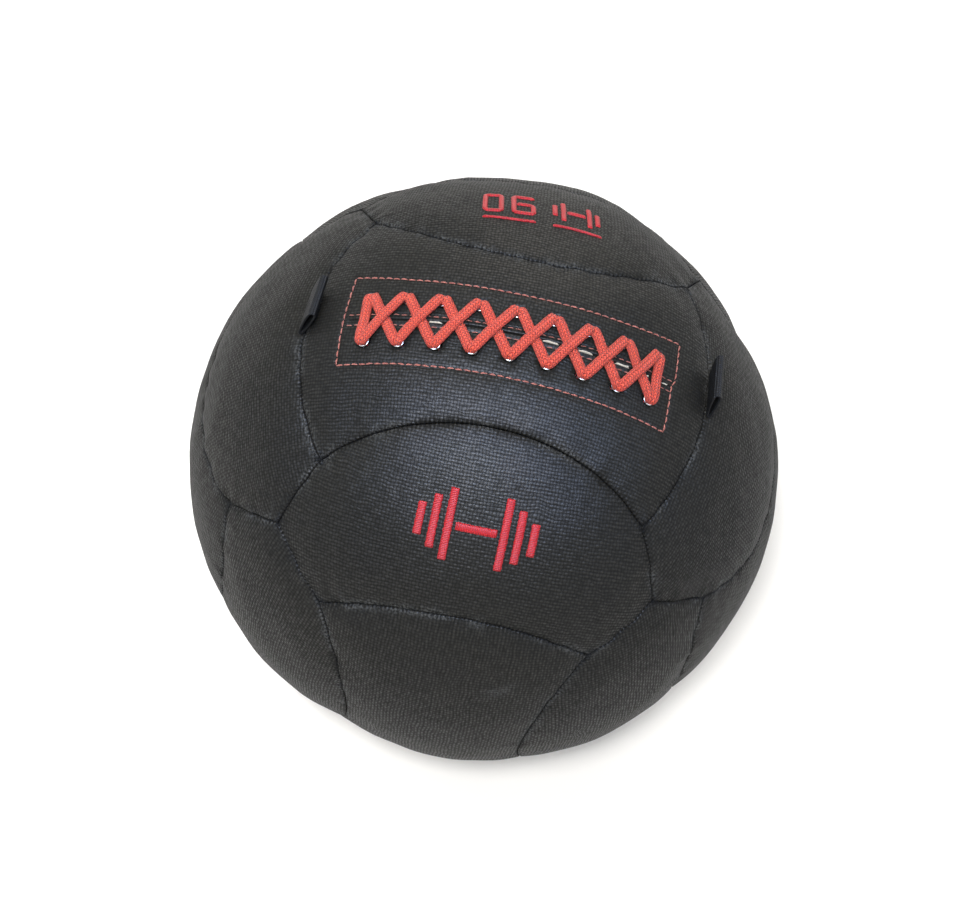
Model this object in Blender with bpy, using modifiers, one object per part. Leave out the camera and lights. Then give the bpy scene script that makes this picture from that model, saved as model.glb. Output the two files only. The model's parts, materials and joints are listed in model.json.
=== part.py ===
"""A laced wall ball for throwing and catching, 350 mm across.

Metres, +Z up. The origin is on the floor, under the middle of the ball.
The cover is 18 padded panels in six groups of three strips. The top centre panel has a
filling slit, closed by one flat lace through 18 metal eyelets. Inside are a fabric bag,
the shredded filling and a sack of iron sand.
"""

import math

import bmesh
import bpy
from mathutils import Matrix, Vector
from mathutils.geometry import closest_point_on_tri

# The ball, and the patch that its weight flattens on the floor
BALL_RADIUS = 0.175
REST_FLAT_RADIUS = 0.042
CENTRE_HEIGHT = math.sqrt(BALL_RADIUS ** 2 - REST_FLAT_RADIUS ** 2)

# Room left between pieces that touch, and how far a cutter runs past what it cuts
CLEARANCE = 0.0003
OVERRUN = 0.004

# Foam-backed panels, crowned between their seams
PANEL_WALL = 0.008
SEAM_DEPTH = 0.002
CROWN_REACH = 0.030
CROWN_POWER = 2.5

# Where the seams run, as angles from the middle of a group of three strips
CORNER_ANGLE = math.radians(40.2)
CORNER_AZIMUTH = math.radians(40.7)
END_SEAM_ANGLE = math.radians(39.1)
WAIST_ANGLE = math.radians(16.8)

# Rows of a panel's grid, closer together along its seams
ROW_SHARES = (0.0, 0.035, 0.12, 0.24, 0.37, 0.5, 0.63, 0.76, 0.88, 0.965, 1.0)

# The filling slit and the patch behind it
SLIT_TO_END_SEAM = 0.028
SLIT_WIDTH = 0.002
SKIN_OVER_PATCH = 0.003
PATCH_THICKNESS = 0.001
PATCH_PAST_SLIT = 0.0065
PATCH_PAST_EYELETS = 0.0174
PATCH_CELLS_LONG = 10
PATCH_CELLS_WIDE = 4

# Eyelets, in two rows along the slit
EYELETS_PER_ROW = 9
LAST_EYELET_TO_SLIT_END = 0.0131
ROW_TO_ROW = 0.0252
EYELET_BORE_RADIUS = 0.0030
EYELET_BARREL_WALL = 0.0004
EYELET_FLANGE_WIDTH = 0.0010
EYELET_FLANGE_THICKNESS = 0.0005
FLAT_ON_CURVE_CLEARANCE = 0.0006
EYELET_SIDES = 10
HOLE_SIDES = 12

# The flat lace, squeezed where two strands share an eyelet
LACE_WIDTH = 0.0060
LACE_THICKNESS = 0.0020
LACE_FACE_SHARE = 0.72
SQUEEZED_WIDTH_SHARE = 0.80
SQUEEZED_THICKNESS_SHARE = 0.73
BEND_RADIUS_SHARE = 0.77
KNOT_WIDTH = 0.0062
KNOT_LENGTH = 0.0050
FREE_END_LENGTH = 0.0045
STRAND_SHARES = (0.20, 0.31, 0.69, 0.80)
UNDER_SHARES = (0.18, 0.82)
BEND_STEPS = 2

# Webbing loops in the end seams of the lace panel
LOOP_WIDTH = 0.025
LOOP_WEBBING = 0.0012
LOOP_ROOT_RADIUS = 0.0016
LOOP_FOLD_RADIUS = 0.0023
LOOP_REACH = 0.0115
LOOP_SKEW_SHARE = 0.4
LOOP_SEAM_SHARE = 0.55
LOOP_ARC_STEPS = 6

# How far each loop has been turned over its seam, from lying out on the side panel
LOOP_LEANS = {
    "webbing_loop_left": math.radians(150.0),
    "webbing_loop_right": math.radians(120.0),
}

# Inner bag and its mouth
BAG_THICKNESS = 0.001
BAG_MOUTH_LENGTH = 0.140
BAG_MOUTH_WIDTH = 0.003
ROUND_DETAIL = 3

# Sack of iron sand in the middle of the filling
SACK_RADIUS = 0.056
SACK_WALL = 0.0015
SACK_NECK_RADIUS = 0.009
SACK_NECK_HEIGHT = 0.014
SACK_FRILL_WIDTH = 0.006
SACK_FRILL_HEIGHT = 0.012
TIE_RADIUS = 0.0015
SAND_FILL_SHARE = 0.86
TURNED_STEPS = 14
ARC_STEPS = 7
TIE_STEPS = 6

SHARP_ANGLE = math.radians(35.0)
MERGE_DISTANCE = 0.00001

X = Vector((1.0, 0.0, 0.0))
Y = Vector((0.0, 1.0, 0.0))
Z = Vector((0.0, 0.0, 1.0))

# Each side panel, by the axis of its group and the way that its long seams run
SIDE_PANELS = {
    "panel_top_front": (Z, X),
    "panel_top_rear": (Z, -X),
    "panel_bottom_front": (-Z, -X),
    "panel_bottom_rear": (-Z, X),
    "panel_front_left": (-Y, -Z),
    "panel_front_right": (-Y, Z),
    "panel_back_left": (Y, Z),
    "panel_back_right": (Y, -Z),
    "panel_right_upper": (X, -Y),
    "panel_right_lower": (X, Y),
    "panel_left_upper": (-X, Y),
    "panel_left_lower": (-X, -Y),
}

# The centre panels that have no slit and no rest flat
PLAIN_CENTRE_PANELS = {
    "panel_front_centre": (-Y, Z),
    "panel_back_centre": (Y, Z),
    "panel_right_centre": (X, Y),
    "panel_left_centre": (-X, Y),
}

# Lengths along and across the slit
SLIT_HALF = BALL_RADIUS * END_SEAM_ANGLE - SLIT_TO_END_SEAM
EYELET_PITCH = 2 * (SLIT_HALF - LAST_EYELET_TO_SLIT_END) / (EYELETS_PER_ROW - 1)
PATCH_HALF_LENGTH = SLIT_HALF + PATCH_PAST_SLIT
PATCH_HALF_WIDTH = ROW_TO_ROW / 2 + PATCH_PAST_EYELETS

# Heights over the crown of the panel, down through the lacing
FLANGE_TOP = CLEARANCE + EYELET_FLANGE_THICKNESS
PATCH_TOP = -SKIN_OVER_PATCH - CLEARANCE
PATCH_BOTTOM = PATCH_TOP - PATCH_THICKNESS
LOWER_FLANGE_TOP = PATCH_BOTTOM - FLAT_ON_CURVE_CLEARANCE
LOWER_FLANGE_BOTTOM = LOWER_FLANGE_TOP - EYELET_FLANGE_THICKNESS
STRAND_HEIGHT = FLANGE_TOP + 2 * CLEARANCE + LACE_THICKNESS / 2
LOW_CROSSING = 2 * CLEARANCE + LACE_THICKNESS / 2
HIGH_CROSSING = LOW_CROSSING + LACE_THICKNESS + CLEARANCE
UNDER_HEIGHT = LOWER_FLANGE_BOTTOM - 2 * CLEARANCE - LACE_THICKNESS / 2
LOWER_UNDER_HEIGHT = UNDER_HEIGHT - LACE_THICKNESS - CLEARANCE
LACING_DEPTH = LACE_THICKNESS / 2 - LOWER_UNDER_HEIGHT

# What the eyelets and the strands in them measure
BARREL_RADIUS = EYELET_BORE_RADIUS + EYELET_BARREL_WALL
FLANGE_RADIUS = BARREL_RADIUS + EYELET_FLANGE_WIDTH
HOLE_RADIUS = (BARREL_RADIUS + CLEARANCE) / math.cos(math.pi / HOLE_SIDES)
SQUEEZED_WIDTH = EYELET_BORE_RADIUS * SQUEEZED_WIDTH_SHARE
SQUEEZED_THICKNESS = EYELET_BORE_RADIUS * SQUEEZED_THICKNESS_SHARE
LACE_BEND_RADIUS = EYELET_BORE_RADIUS * BEND_RADIUS_SHARE
STRAND_OFFSET = (SQUEEZED_WIDTH + CLEARANCE) / 2


def linear_colour(hex_code):
    """Turn an sRGB hex code into the linear colour that a shader takes."""
    channels = []
    for start in (0, 2, 4):
        value = int(hex_code[start:start + 2], 16) / 255.0
        if value <= 0.04045:
            channels.append(value / 12.92)
        else:
            channels.append(((value + 0.055) / 1.055) ** 2.4)
    return (channels[0], channels[1], channels[2], 1.0)


def make_material(name, hex_code, roughness, metallic=0.0):
    """A plain material for one kind of piece."""
    material = bpy.data.materials.new(name)
    material.use_nodes = True
    shader = material.node_tree.nodes["Principled BSDF"]
    shader.inputs["Base Color"].default_value = linear_colour(hex_code)
    shader.inputs["Roughness"].default_value = roughness
    shader.inputs["Metallic"].default_value = metallic
    return material


def clear_scene():
    """Remove what a new file starts with."""
    for item in list(bpy.data.objects):
        bpy.data.objects.remove(item)


def make_collection(name):
    """Add a collection to the scene."""
    collection = bpy.data.collections.new(name)
    bpy.context.scene.collection.children.link(collection)
    return collection


class Ball:
    """The ball being built: its collections, and the empty at its middle."""

    def __init__(self):
        self.pieces = make_collection("wall_ball")
        self.cutters = make_collection("cutters")
        self.centre = bpy.data.objects.new("ball_centre", None)
        self.centre.location = (0.0, 0.0, CENTRE_HEIGHT)
        self.cutters.objects.link(self.centre)

    def add(self, name, mesh, material):
        """Add one piece, with its origin at the ball's middle until it is placed."""
        piece = bpy.data.objects.new(name, mesh)
        self.pieces.objects.link(piece)
        piece.parent = self.centre
        if not mesh.materials:
            mesh.materials.append(material)
        return piece

    def add_cutter(self, name, mesh):
        """Add a shape that only cuts others."""
        cutter = bpy.data.objects.new(name, mesh)
        self.cutters.objects.link(cutter)
        cutter.parent = self.centre
        cutter.hide_render = True
        cutter.display_type = "WIRE"
        return cutter


def cut_with(piece, cutter):
    """Cut one object with another."""
    modifier = piece.modifiers.new("cut_" + cutter.name, "BOOLEAN")
    modifier.operation = "DIFFERENCE"
    modifier.solver = "EXACT"
    modifier.object = cutter


def finish_mesh(bm, name):
    """Turn a bmesh into a mesh, shaded smooth but sharp along its edges."""
    bmesh.ops.recalc_face_normals(bm, faces=bm.faces)
    mesh = bpy.data.meshes.new(name)
    bm.to_mesh(mesh)
    bm.free()
    mesh.shade_smooth()
    mesh.set_sharp_from_angle(angle=SHARP_ANGLE)
    return mesh


def lowest_radius(bm):
    """How near the middle of the ball the facets of a bmesh come."""
    centre = Vector((0.0, 0.0, 0.0))
    nearest = []
    for triangle in bm.calc_loop_triangles():
        corners = [loop.vert.co for loop in triangle]
        nearest.append(closest_point_on_tri(centre, *corners).length)
    return min(nearest)


def on_ball(along, across, height):
    """The point at lengths along and across the slit, at a height over the crown."""
    lengthwise = along / BALL_RADIUS
    crosswise = across / BALL_RADIUS
    direction = Vector((
        math.cos(crosswise) * math.sin(lengthwise),
        math.sin(crosswise),
        math.cos(crosswise) * math.cos(lengthwise),
    ))
    return direction * (BALL_RADIUS + height)


def turn_to(axis, along):
    """The rotation that takes a group of strips to its place on the ball."""
    return Matrix((along, axis.cross(along), axis)).transposed().to_euler()


# Seams. Each lies in a plane, and a panel is what the planes round it leave of the ball.


def group_corner(side, end):
    """The corner of the top centre panel at one side and end, as a direction."""
    return Vector((
        end * math.sin(CORNER_ANGLE) * math.cos(CORNER_AZIMUTH),
        side * math.sin(CORNER_ANGLE) * math.sin(CORNER_AZIMUTH),
        math.cos(CORNER_ANGLE),
    ))


def front_group_corner(end):
    """The upper corner of the front centre panel, at one end of its short seam."""
    corner = group_corner(1, 1)
    return Vector((end * corner.y, -corner.z, corner.x))


def seam_plane(points, inside):
    """The seam through three directions, as a normal that faces out of a panel and an angle.

    It is drawn in by half the clearance, because the panel on its other side is too.
    """
    first, second, third = points
    normal = (second - first).cross(third - first).normalized()
    distance = normal.dot(first)
    if normal.dot(inside) > distance:
        normal = -normal
        distance = -distance
    return normal, math.asin(distance) - CLEARANCE / 2 / BALL_RADIUS


def meeting_point(seam_a, seam_b, near):
    """The direction where two seams meet, nearest to a given one."""
    normal_a, angle_a = seam_a
    normal_b, angle_b = seam_b
    lean = normal_a.dot(normal_b)
    share_a = math.sin(angle_a) - math.sin(angle_b) * lean
    share_b = math.sin(angle_b) - math.sin(angle_a) * lean
    base = (share_a * normal_a + share_b * normal_b) / (1 - lean ** 2)
    line = normal_a.cross(normal_b).normalized() * math.sqrt(1 - base.length_squared)
    if (base + line - near).length < (base - line - near).length:
        return base + line
    return base - line


def point_on_seam(seam, start, end, share):
    """The direction a share of the way along a seam."""
    normal, angle = seam
    middle = normal * math.sin(angle)
    from_middle = start - middle
    to_end = end - middle
    turn = math.atan2(normal.dot(from_middle.cross(to_end)), from_middle.dot(to_end))
    return middle + Matrix.Rotation(turn * share, 3, normal) @ from_middle


def end_seam_points(end):
    """Three directions on the seam at one end of the top centre panel."""
    middle = Vector((end * math.sin(END_SEAM_ANGLE), 0.0, math.cos(END_SEAM_ANGLE)))
    return group_corner(-1, end), middle, group_corner(1, end)


def side_seam_points(side):
    """Three directions on the long seam at one side of the top centre panel."""
    middle = Vector((0.0, side * math.sin(WAIST_ANGLE), math.cos(WAIST_ANGLE)))
    return group_corner(side, -1), middle, group_corner(side, 1)


class CentrePanelOutline:
    """The four seams round a centre panel."""

    def __init__(self):
        self.front = seam_plane(side_seam_points(-1), Z)
        self.rear = seam_plane(side_seam_points(1), Z)
        self.ends = {end: seam_plane(end_seam_points(end), Z) for end in (-1, 1)}
        self.seams = (self.front, self.rear, self.ends[-1], self.ends[1])
        self.front_corners = self.corners_on(self.front, -1)
        self.rear_corners = self.corners_on(self.rear, 1)

    def corners_on(self, seam, side):
        """Both corners on a long seam."""
        return {
            end: meeting_point(seam, self.ends[end], group_corner(side, end))
            for end in (-1, 1)
        }

    def first_edge(self, share):
        """Along the front seam."""
        corners = self.front_corners
        return point_on_seam(self.front, corners[-1], corners[1], share)

    def last_edge(self, share):
        """Along the rear seam."""
        corners = self.rear_corners
        return point_on_seam(self.rear, corners[-1], corners[1], share)

    def end_edge(self, end, share):
        """Along an end, from front to rear."""
        start = self.front_corners[end]
        return point_on_seam(self.ends[end], start, self.rear_corners[end], share)


class SidePanelOutline:
    """The six seams round the side panel in front of the top centre panel."""

    def __init__(self):
        inside = (Z - Y).normalized()
        centre = Vector((0.0, 0.0, 0.0))
        below = Vector((0.0, -math.cos(END_SEAM_ANGLE), math.sin(END_SEAM_ANGLE)))
        lower_points = (front_group_corner(-1), below, front_group_corner(1))
        self.upper = seam_plane(side_seam_points(-1), inside)
        self.lower = seam_plane(lower_points, inside)
        self.seams = [self.upper, self.lower]
        self.ends = {}
        for end in (-1, 1):
            top = group_corner(-1, end)
            tip = Vector((end, -1.0, 1.0)).normalized()
            bottom = front_group_corner(end)
            high = seam_plane((top, tip, centre), inside)
            low = seam_plane((tip, bottom, centre), inside)
            top = meeting_point(self.upper, high, top)
            tip = meeting_point(high, low, tip)
            bottom = meeting_point(low, self.lower, bottom)
            self.seams += [high, low]
            self.ends[end] = (high, low, top, tip, bottom)

    def first_edge(self, share):
        """Along the seam with the top centre panel."""
        return point_on_seam(self.upper, self.ends[-1][2], self.ends[1][2], share)

    def last_edge(self, share):
        """Along the seam with the front centre panel."""
        return point_on_seam(self.lower, self.ends[-1][4], self.ends[1][4], share)

    def end_edge(self, end, share):
        """Down one end, round the tip where three groups meet."""
        high, low, top, tip, bottom = self.ends[end]
        if share <= 0.5:
            return point_on_seam(high, top, tip, share * 2)
        return point_on_seam(low, tip, bottom, share * 2 - 1)


def inside_outline(outline, u, v):
    """The direction at shares u and v of a panel, blended from its four edges."""
    across = outline.first_edge(u) * (1 - v) + outline.last_edge(u) * v
    lengthways = outline.end_edge(-1, v) * (1 - u) + outline.end_edge(1, v) * u
    first_corners = outline.first_edge(0.0) * (1 - u) + outline.first_edge(1.0) * u
    last_corners = outline.last_edge(0.0) * (1 - u) + outline.last_edge(1.0) * u
    corners = first_corners * (1 - v) + last_corners * v
    return (across + lengthways - corners).normalized()


def crowned_point(outline, direction):
    """The point of a panel's surface in a direction: full in its middle, low at its seams."""
    level = 1.0
    for normal, angle in outline.seams:
        slope = max(-1.0, min(1.0, normal.dot(direction)))
        to_seam = max(0.0, angle - math.asin(slope)) * BALL_RADIUS
        level *= 1 - max(0.0, 1 - to_seam / CROWN_REACH) ** CROWN_POWER
    return direction * (BALL_RADIUS - SEAM_DEPTH * (1 - level))


def is_outer(vert):
    """Whether a panel's vertex is on its outer side."""
    return vert.co.length > BALL_RADIUS - (SEAM_DEPTH + PANEL_WALL) / 2


def thin_the_back(bm, row_layer, column_layer):
    """Leave every second row on a panel's hidden side, but keep all of its rim."""
    last = len(ROW_SHARES) - 1
    inner = [vert for vert in bm.verts if not is_outer(vert)]
    crossings = [v for v in inner if v[row_layer] % 2 and v[column_layer] % 2]
    bmesh.ops.dissolve_verts(bm, verts=crossings)
    between = []
    for vert in bm.verts:
        row = vert[row_layer]
        column = vert[column_layer]
        within = 0 < row < last and 0 < column < last
        if within and (row + column) % 2 and not is_outer(vert):
            between.append(vert)
    bmesh.ops.dissolve_verts(bm, verts=between)


def draw_finer(bm, outline):
    """Halve the cells of a panel's outer side, and leave its rim as it is."""
    outer_faces = [face for face in bm.faces if all(is_outer(v) for v in face.verts)]
    edges = list({edge for face in outer_faces for edge in face.edges})
    bmesh.ops.subdivide_edges(bm, edges=edges, cuts=1, use_grid_fill=True)
    for vert in bm.verts:
        if all(is_outer(other) for face in vert.link_faces for other in face.verts):
            vert.co = crowned_point(outline, vert.co.normalized())


def panel_shell(outline, finer=False):
    """A closed padded panel: a grid drawn over the ball and thickened inwards."""
    cells = len(ROW_SHARES) - 1
    bm = bmesh.new()
    bmesh.ops.create_grid(bm, x_segments=cells, y_segments=cells, size=1.0)
    row_layer = bm.verts.layers.int.new("row")
    column_layer = bm.verts.layers.int.new("column")
    for vert in bm.verts:
        column = round((vert.co.x + 1) / 2 * cells)
        row = round((vert.co.y + 1) / 2 * cells)
        vert[row_layer] = row
        vert[column_layer] = column
        direction = inside_outline(outline, ROW_SHARES[column], ROW_SHARES[row])
        vert.co = crowned_point(outline, direction)
    copy = bmesh.ops.extrude_face_region(bm, geom=bm.faces[:], use_keep_orig=True)
    for part in copy["geom"]:
        if isinstance(part, bmesh.types.BMVert):
            part.co = part.co.normalized() * (BALL_RADIUS - PANEL_WALL)
    thin_the_back(bm, row_layer, column_layer)
    if finer:
        draw_finer(bm, outline)
    bmesh.ops.triangulate(bm, faces=[f for f in bm.faces if len(f.verts) > 4])
    return bm


def build_cover(ball, fabric):
    """All 18 panels. Returns how near the middle of the ball their backs come."""
    centre_outline = CentrePanelOutline()
    side_shell = panel_shell(SidePanelOutline())
    centre_shell = panel_shell(centre_outline)
    back_radius = min(lowest_radius(side_shell), lowest_radius(centre_shell))
    side_mesh = finish_mesh(side_shell, "side_panel")
    for name, (axis, along) in SIDE_PANELS.items():
        panel = ball.add(name, side_mesh, fabric)
        panel.rotation_euler = turn_to(axis, along)
    centre_mesh = finish_mesh(centre_shell, "centre_panel")
    for name, (axis, along) in PLAIN_CENTRE_PANELS.items():
        panel = ball.add(name, centre_mesh, fabric)
        panel.rotation_euler = turn_to(axis, along)
    build_rest_panel(ball, centre_outline, fabric)
    build_lace_panel(ball, centre_outline, fabric, back_radius)
    return back_radius


def build_rest_panel(ball, outline, fabric):
    """The bottom centre panel, pressed flat where the ball lies on it."""
    bm = panel_shell(outline)
    cut = bmesh.ops.bisect_plane(
        bm, geom=bm.verts[:] + bm.edges[:] + bm.faces[:], dist=MERGE_DISTANCE,
        plane_co=Z * CENTRE_HEIGHT, plane_no=Z, clear_outer=True,
    )
    rim = [part for part in cut["geom_cut"] if isinstance(part, bmesh.types.BMEdge)]
    bmesh.ops.edgeloop_fill(bm, edges=rim)
    panel = ball.add("panel_bottom_centre", finish_mesh(bm, "rest_panel"), fabric)
    panel.rotation_euler = turn_to(-Z, X)


def build_lace_panel(ball, outline, fabric, back_radius):
    """The top centre panel: skived behind for the patch, slit, and punched for eyelets."""
    mesh = finish_mesh(panel_shell(outline, finer=True), "lace_panel")
    panel = ball.add("panel_top_lace", mesh, fabric)
    past_back = back_radius - BALL_RADIUS - OVERRUN
    pocket = curved_slab(
        PATCH_HALF_LENGTH + CLEARANCE, PATCH_HALF_WIDTH + CLEARANCE,
        -SKIN_OVER_PATCH, past_back,
    )
    cut_with(panel, ball.add_cutter("patch_pocket", pocket))
    slit = curved_slab(SLIT_HALF, SLIT_WIDTH / 2, OVERRUN, past_back)
    cut_with(panel, ball.add_cutter("slit", slit))
    cut_with(panel, ball.add_cutter("punched_holes", punched_holes()))


# Lacing


def curved_slab(half_length, half_width, top, bottom):
    """A slab that follows the ball, between two heights, as a mesh."""
    bm = bmesh.new()
    bmesh.ops.create_grid(
        bm, x_segments=PATCH_CELLS_LONG, y_segments=PATCH_CELLS_WIDE, size=1.0
    )
    for vert in bm.verts:
        vert.co = on_ball(vert.co.x * half_length, vert.co.y * half_width, top)
    copy = bmesh.ops.extrude_face_region(bm, geom=bm.faces[:], use_keep_orig=True)
    for part in copy["geom"]:
        if isinstance(part, bmesh.types.BMVert):
            part.co = part.co.normalized() * (BALL_RADIUS + bottom)
    return finish_mesh(bm, "curved_slab")


def eyelet_places():
    """Where the eyelets are: name, number, row and place along the slit."""
    places = []
    for row, side in ((1, "rear"), (-1, "front")):
        for number in range(1, EYELETS_PER_ROW + 1):
            places.append((f"eyelet_{side}_{number}", number, row))
    return places


def eyelet_along(number):
    """How far along the slit an eyelet is from its middle."""
    return (number - (EYELETS_PER_ROW + 1) / 2) * EYELET_PITCH


def upright_on_ball(along, across, height):
    """The place and turn of a piece that stands square on the ball."""
    place = on_ball(along, across, height)
    turn = place.to_track_quat("Z", "Y").to_matrix().to_4x4()
    return Matrix.Translation(place) @ turn


def punched_holes():
    """A pin for each eyelet's hole through the panel and the patch."""
    bm = bmesh.new()
    depth = OVERRUN * 2 - LOWER_FLANGE_BOTTOM
    for _, number, row in eyelet_places():
        across = row * ROW_TO_ROW / 2
        bmesh.ops.create_cone(
            bm, cap_ends=True, segments=HOLE_SIDES, radius1=HOLE_RADIUS,
            radius2=HOLE_RADIUS, depth=depth,
            matrix=upright_on_ball(eyelet_along(number), across, OVERRUN - depth / 2),
        )
    return finish_mesh(bm, "punched_holes")


def turned_profile(name, points, closed=False):
    """A profile in the XZ plane, as a mesh of edges for a Screw modifier."""
    mesh = bpy.data.meshes.new(name)
    vertices = [(radius, 0.0, height) for radius, height in points]
    edges = [(index, index + 1) for index in range(len(points) - 1)]
    if closed:
        edges.append((len(points) - 1, 0))
    mesh.from_pydata(vertices, edges, [])
    return mesh


def turn_about_z(piece, steps):
    """Revolve a profile."""
    modifier = piece.modifiers.new("turned", "SCREW")
    modifier.axis = "Z"
    modifier.steps = steps
    modifier.render_steps = steps
    modifier.use_merge_vertices = True
    modifier.merge_threshold = MERGE_DISTANCE
    modifier.use_smooth_shade = True


def build_eyelets(ball, metal):
    """The eyelets: a barrel between two flanges, one over the panel, one under the patch."""
    points = (
        (EYELET_BORE_RADIUS, FLANGE_TOP),
        (FLANGE_RADIUS, FLANGE_TOP),
        (FLANGE_RADIUS, CLEARANCE),
        (BARREL_RADIUS, CLEARANCE),
        (BARREL_RADIUS, LOWER_FLANGE_TOP),
        (FLANGE_RADIUS, LOWER_FLANGE_TOP),
        (FLANGE_RADIUS, LOWER_FLANGE_BOTTOM),
        (EYELET_BORE_RADIUS, LOWER_FLANGE_BOTTOM),
    )
    mesh = turned_profile("eyelet", points, closed=True)
    for name, number, row in eyelet_places():
        eyelet = ball.add(name, mesh, metal)
        turn_about_z(eyelet, EYELET_SIDES)
        across = row * ROW_TO_ROW / 2
        eyelet.matrix_local = upright_on_ball(eyelet_along(number), across, 0.0)


def build_patch(ball, canvas):
    """The patch sewn behind the slit, which holds the eyelets."""
    mesh = curved_slab(PATCH_HALF_LENGTH, PATCH_HALF_WIDTH, PATCH_TOP, PATCH_BOTTOM)
    patch = ball.add("slit_facing", mesh, canvas)
    cut_with(patch, ball.cutters.objects["slit"])
    cut_with(patch, ball.cutters.objects["punched_holes"])


class LacePlace:
    """One place on the lace: where it lies, which way it is turned, how wide and thick."""

    def __init__(self, along, across, height, turn=0.0, width=LACE_WIDTH,
                 thickness=LACE_THICKNESS):
        lengthwise = along / BALL_RADIUS
        crosswise = across / BALL_RADIUS
        eastward = Vector((math.cos(lengthwise), 0.0, -math.sin(lengthwise)))
        northward = Vector((
            -math.sin(crosswise) * math.sin(lengthwise),
            math.cos(crosswise),
            -math.sin(crosswise) * math.cos(lengthwise),
        ))
        self.point = on_ball(along, across, height)
        self.side = eastward * math.cos(turn) + northward * math.sin(turn)
        self.width = width
        self.thickness = thickness


def bend_at(number, row, side, height, way, turn=0.0):
    """The lace bending over the edge of an eyelet, from level down or up into the bore.

    way is -1 where it dives from over the panel and 1 where it rises from under the patch.
    """
    places = []
    for step in range(BEND_STEPS + 1):
        share = step / BEND_STEPS
        angle = share * math.pi / 2
        inward = LACE_BEND_RADIUS * (1 - math.sin(angle))
        rise = way * LACE_BEND_RADIUS * (1 - math.cos(angle))
        places.append(LacePlace(
            eyelet_along(number) + side * STRAND_OFFSET,
            row * (ROW_TO_ROW / 2 - inward),
            height + rise,
            turn * (1 - share),
            SQUEEZED_WIDTH,
            LACE_THICKNESS + (SQUEEZED_THICKNESS - LACE_THICKNESS) * share,
        ))
    return places


def strand_over(start, end, crossing):
    """A strand from a rear eyelet over the slit to a front one, with both its bends.

    start and end are each an eyelet's number and the side of its bore that the strand takes.
    """
    reach = ROW_TO_ROW / 2 - LACE_BEND_RADIUS
    start_along = eyelet_along(start[0]) + start[1] * STRAND_OFFSET
    end_along = eyelet_along(end[0]) + end[1] * STRAND_OFFSET
    turn = math.atan2(end_along - start_along, 2 * reach)
    halfway = (STRAND_HEIGHT + crossing) / 2
    heights = (halfway, crossing, crossing, halfway)
    places = bend_at(start[0], 1, start[1], STRAND_HEIGHT, -1, turn / 2)[::-1]
    for share, height in zip(STRAND_SHARES, heights):
        along = start_along + (end_along - start_along) * share
        places.append(LacePlace(along, reach * (1 - 2 * share), height, turn))
    return places + bend_at(end[0], -1, end[1], STRAND_HEIGHT, -1, turn / 2)


def strand_under(number, start_side, end_side, height):
    """A strand behind the patch, from a front eyelet to the rear one across the slit."""
    reach = ROW_TO_ROW / 2 - LACE_BEND_RADIUS
    places = bend_at(number, -1, start_side, height, 1)[::-1]
    for share in UNDER_SHARES:
        side = start_side + (end_side - start_side) * share
        along = eyelet_along(number) + side * STRAND_OFFSET
        places.append(LacePlace(along, reach * (2 * share - 1), height))
    return places + bend_at(number, 1, end_side, height, 1)


def free_end(number, row, side):
    """An end of the lace, knotted and left inside the ball, from its knot to its eyelet."""
    along = eyelet_along(number) + side * STRAND_OFFSET
    inner = ROW_TO_ROW / 2 - LACE_BEND_RADIUS - FREE_END_LENGTH
    places = [
        LacePlace(along, row * (inner - KNOT_LENGTH), UNDER_HEIGHT, width=SQUEEZED_WIDTH),
        LacePlace(along, row * (inner - KNOT_LENGTH / 2), UNDER_HEIGHT, width=KNOT_WIDTH),
        LacePlace(along, row * inner, UNDER_HEIGHT, width=SQUEEZED_WIDTH),
    ]
    return places + bend_at(number, row, side, UNDER_HEIGHT, 1)


def lace_route():
    """The whole lace: along the slit and back again, so that two strands share each eyelet."""
    last = EYELETS_PER_ROW
    route = free_end(1, 1, 1)
    for number in range(1, last):
        route += strand_over((number, 1), (number + 1, -1), LOW_CROSSING)
        route += strand_under(number + 1, -1, 1, UNDER_HEIGHT)
    route += strand_over((last, 1), (last, 1), LOW_CROSSING)
    route += strand_under(last, 1, -1, LOWER_UNDER_HEIGHT)
    for number in range(last, 1, -1):
        route += strand_over((number, -1), (number - 1, 1), HIGH_CROSSING)
        route += strand_under(number - 1, 1, -1, LOWER_UNDER_HEIGHT)
    route += strand_over((1, -1), (1, -1), LOW_CROSSING)
    return route + free_end(1, -1, -1)[::-1]


def build_lace(ball, braid):
    """The lace: a grid rolled into a flat tube along its route, and closed at its ends."""
    route = lace_route()
    section = (
        (1.0, 0.0), (LACE_FACE_SHARE, 1.0), (-LACE_FACE_SHARE, 1.0),
        (-1.0, 0.0), (-LACE_FACE_SHARE, -1.0), (LACE_FACE_SHARE, -1.0),
    )
    last = len(route) - 1
    bm = bmesh.new()
    bmesh.ops.create_grid(bm, x_segments=last, y_segments=len(section), size=1.0)
    for vert in bm.verts:
        index = round((vert.co.x + 1) / 2 * last)
        corner = round((vert.co.y + 1) / 2 * len(section)) % len(section)
        place = route[index]
        ahead = route[min(index + 1, last)].point - route[max(index - 1, 0)].point
        ahead.normalize()
        side = (place.side - ahead * ahead.dot(place.side)).normalized()
        face = ahead.cross(side)
        sideways, outward = section[corner]
        vert.co = (
            place.point
            + side * sideways * place.width / 2
            + face * outward * place.thickness / 2
        )
    bmesh.ops.remove_doubles(bm, verts=bm.verts, dist=MERGE_DISTANCE)
    bmesh.ops.holes_fill(bm, edges=bm.edges, sides=len(section))
    ball.add("lace", finish_mesh(bm, "lace"), braid)


# Webbing loops


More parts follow.
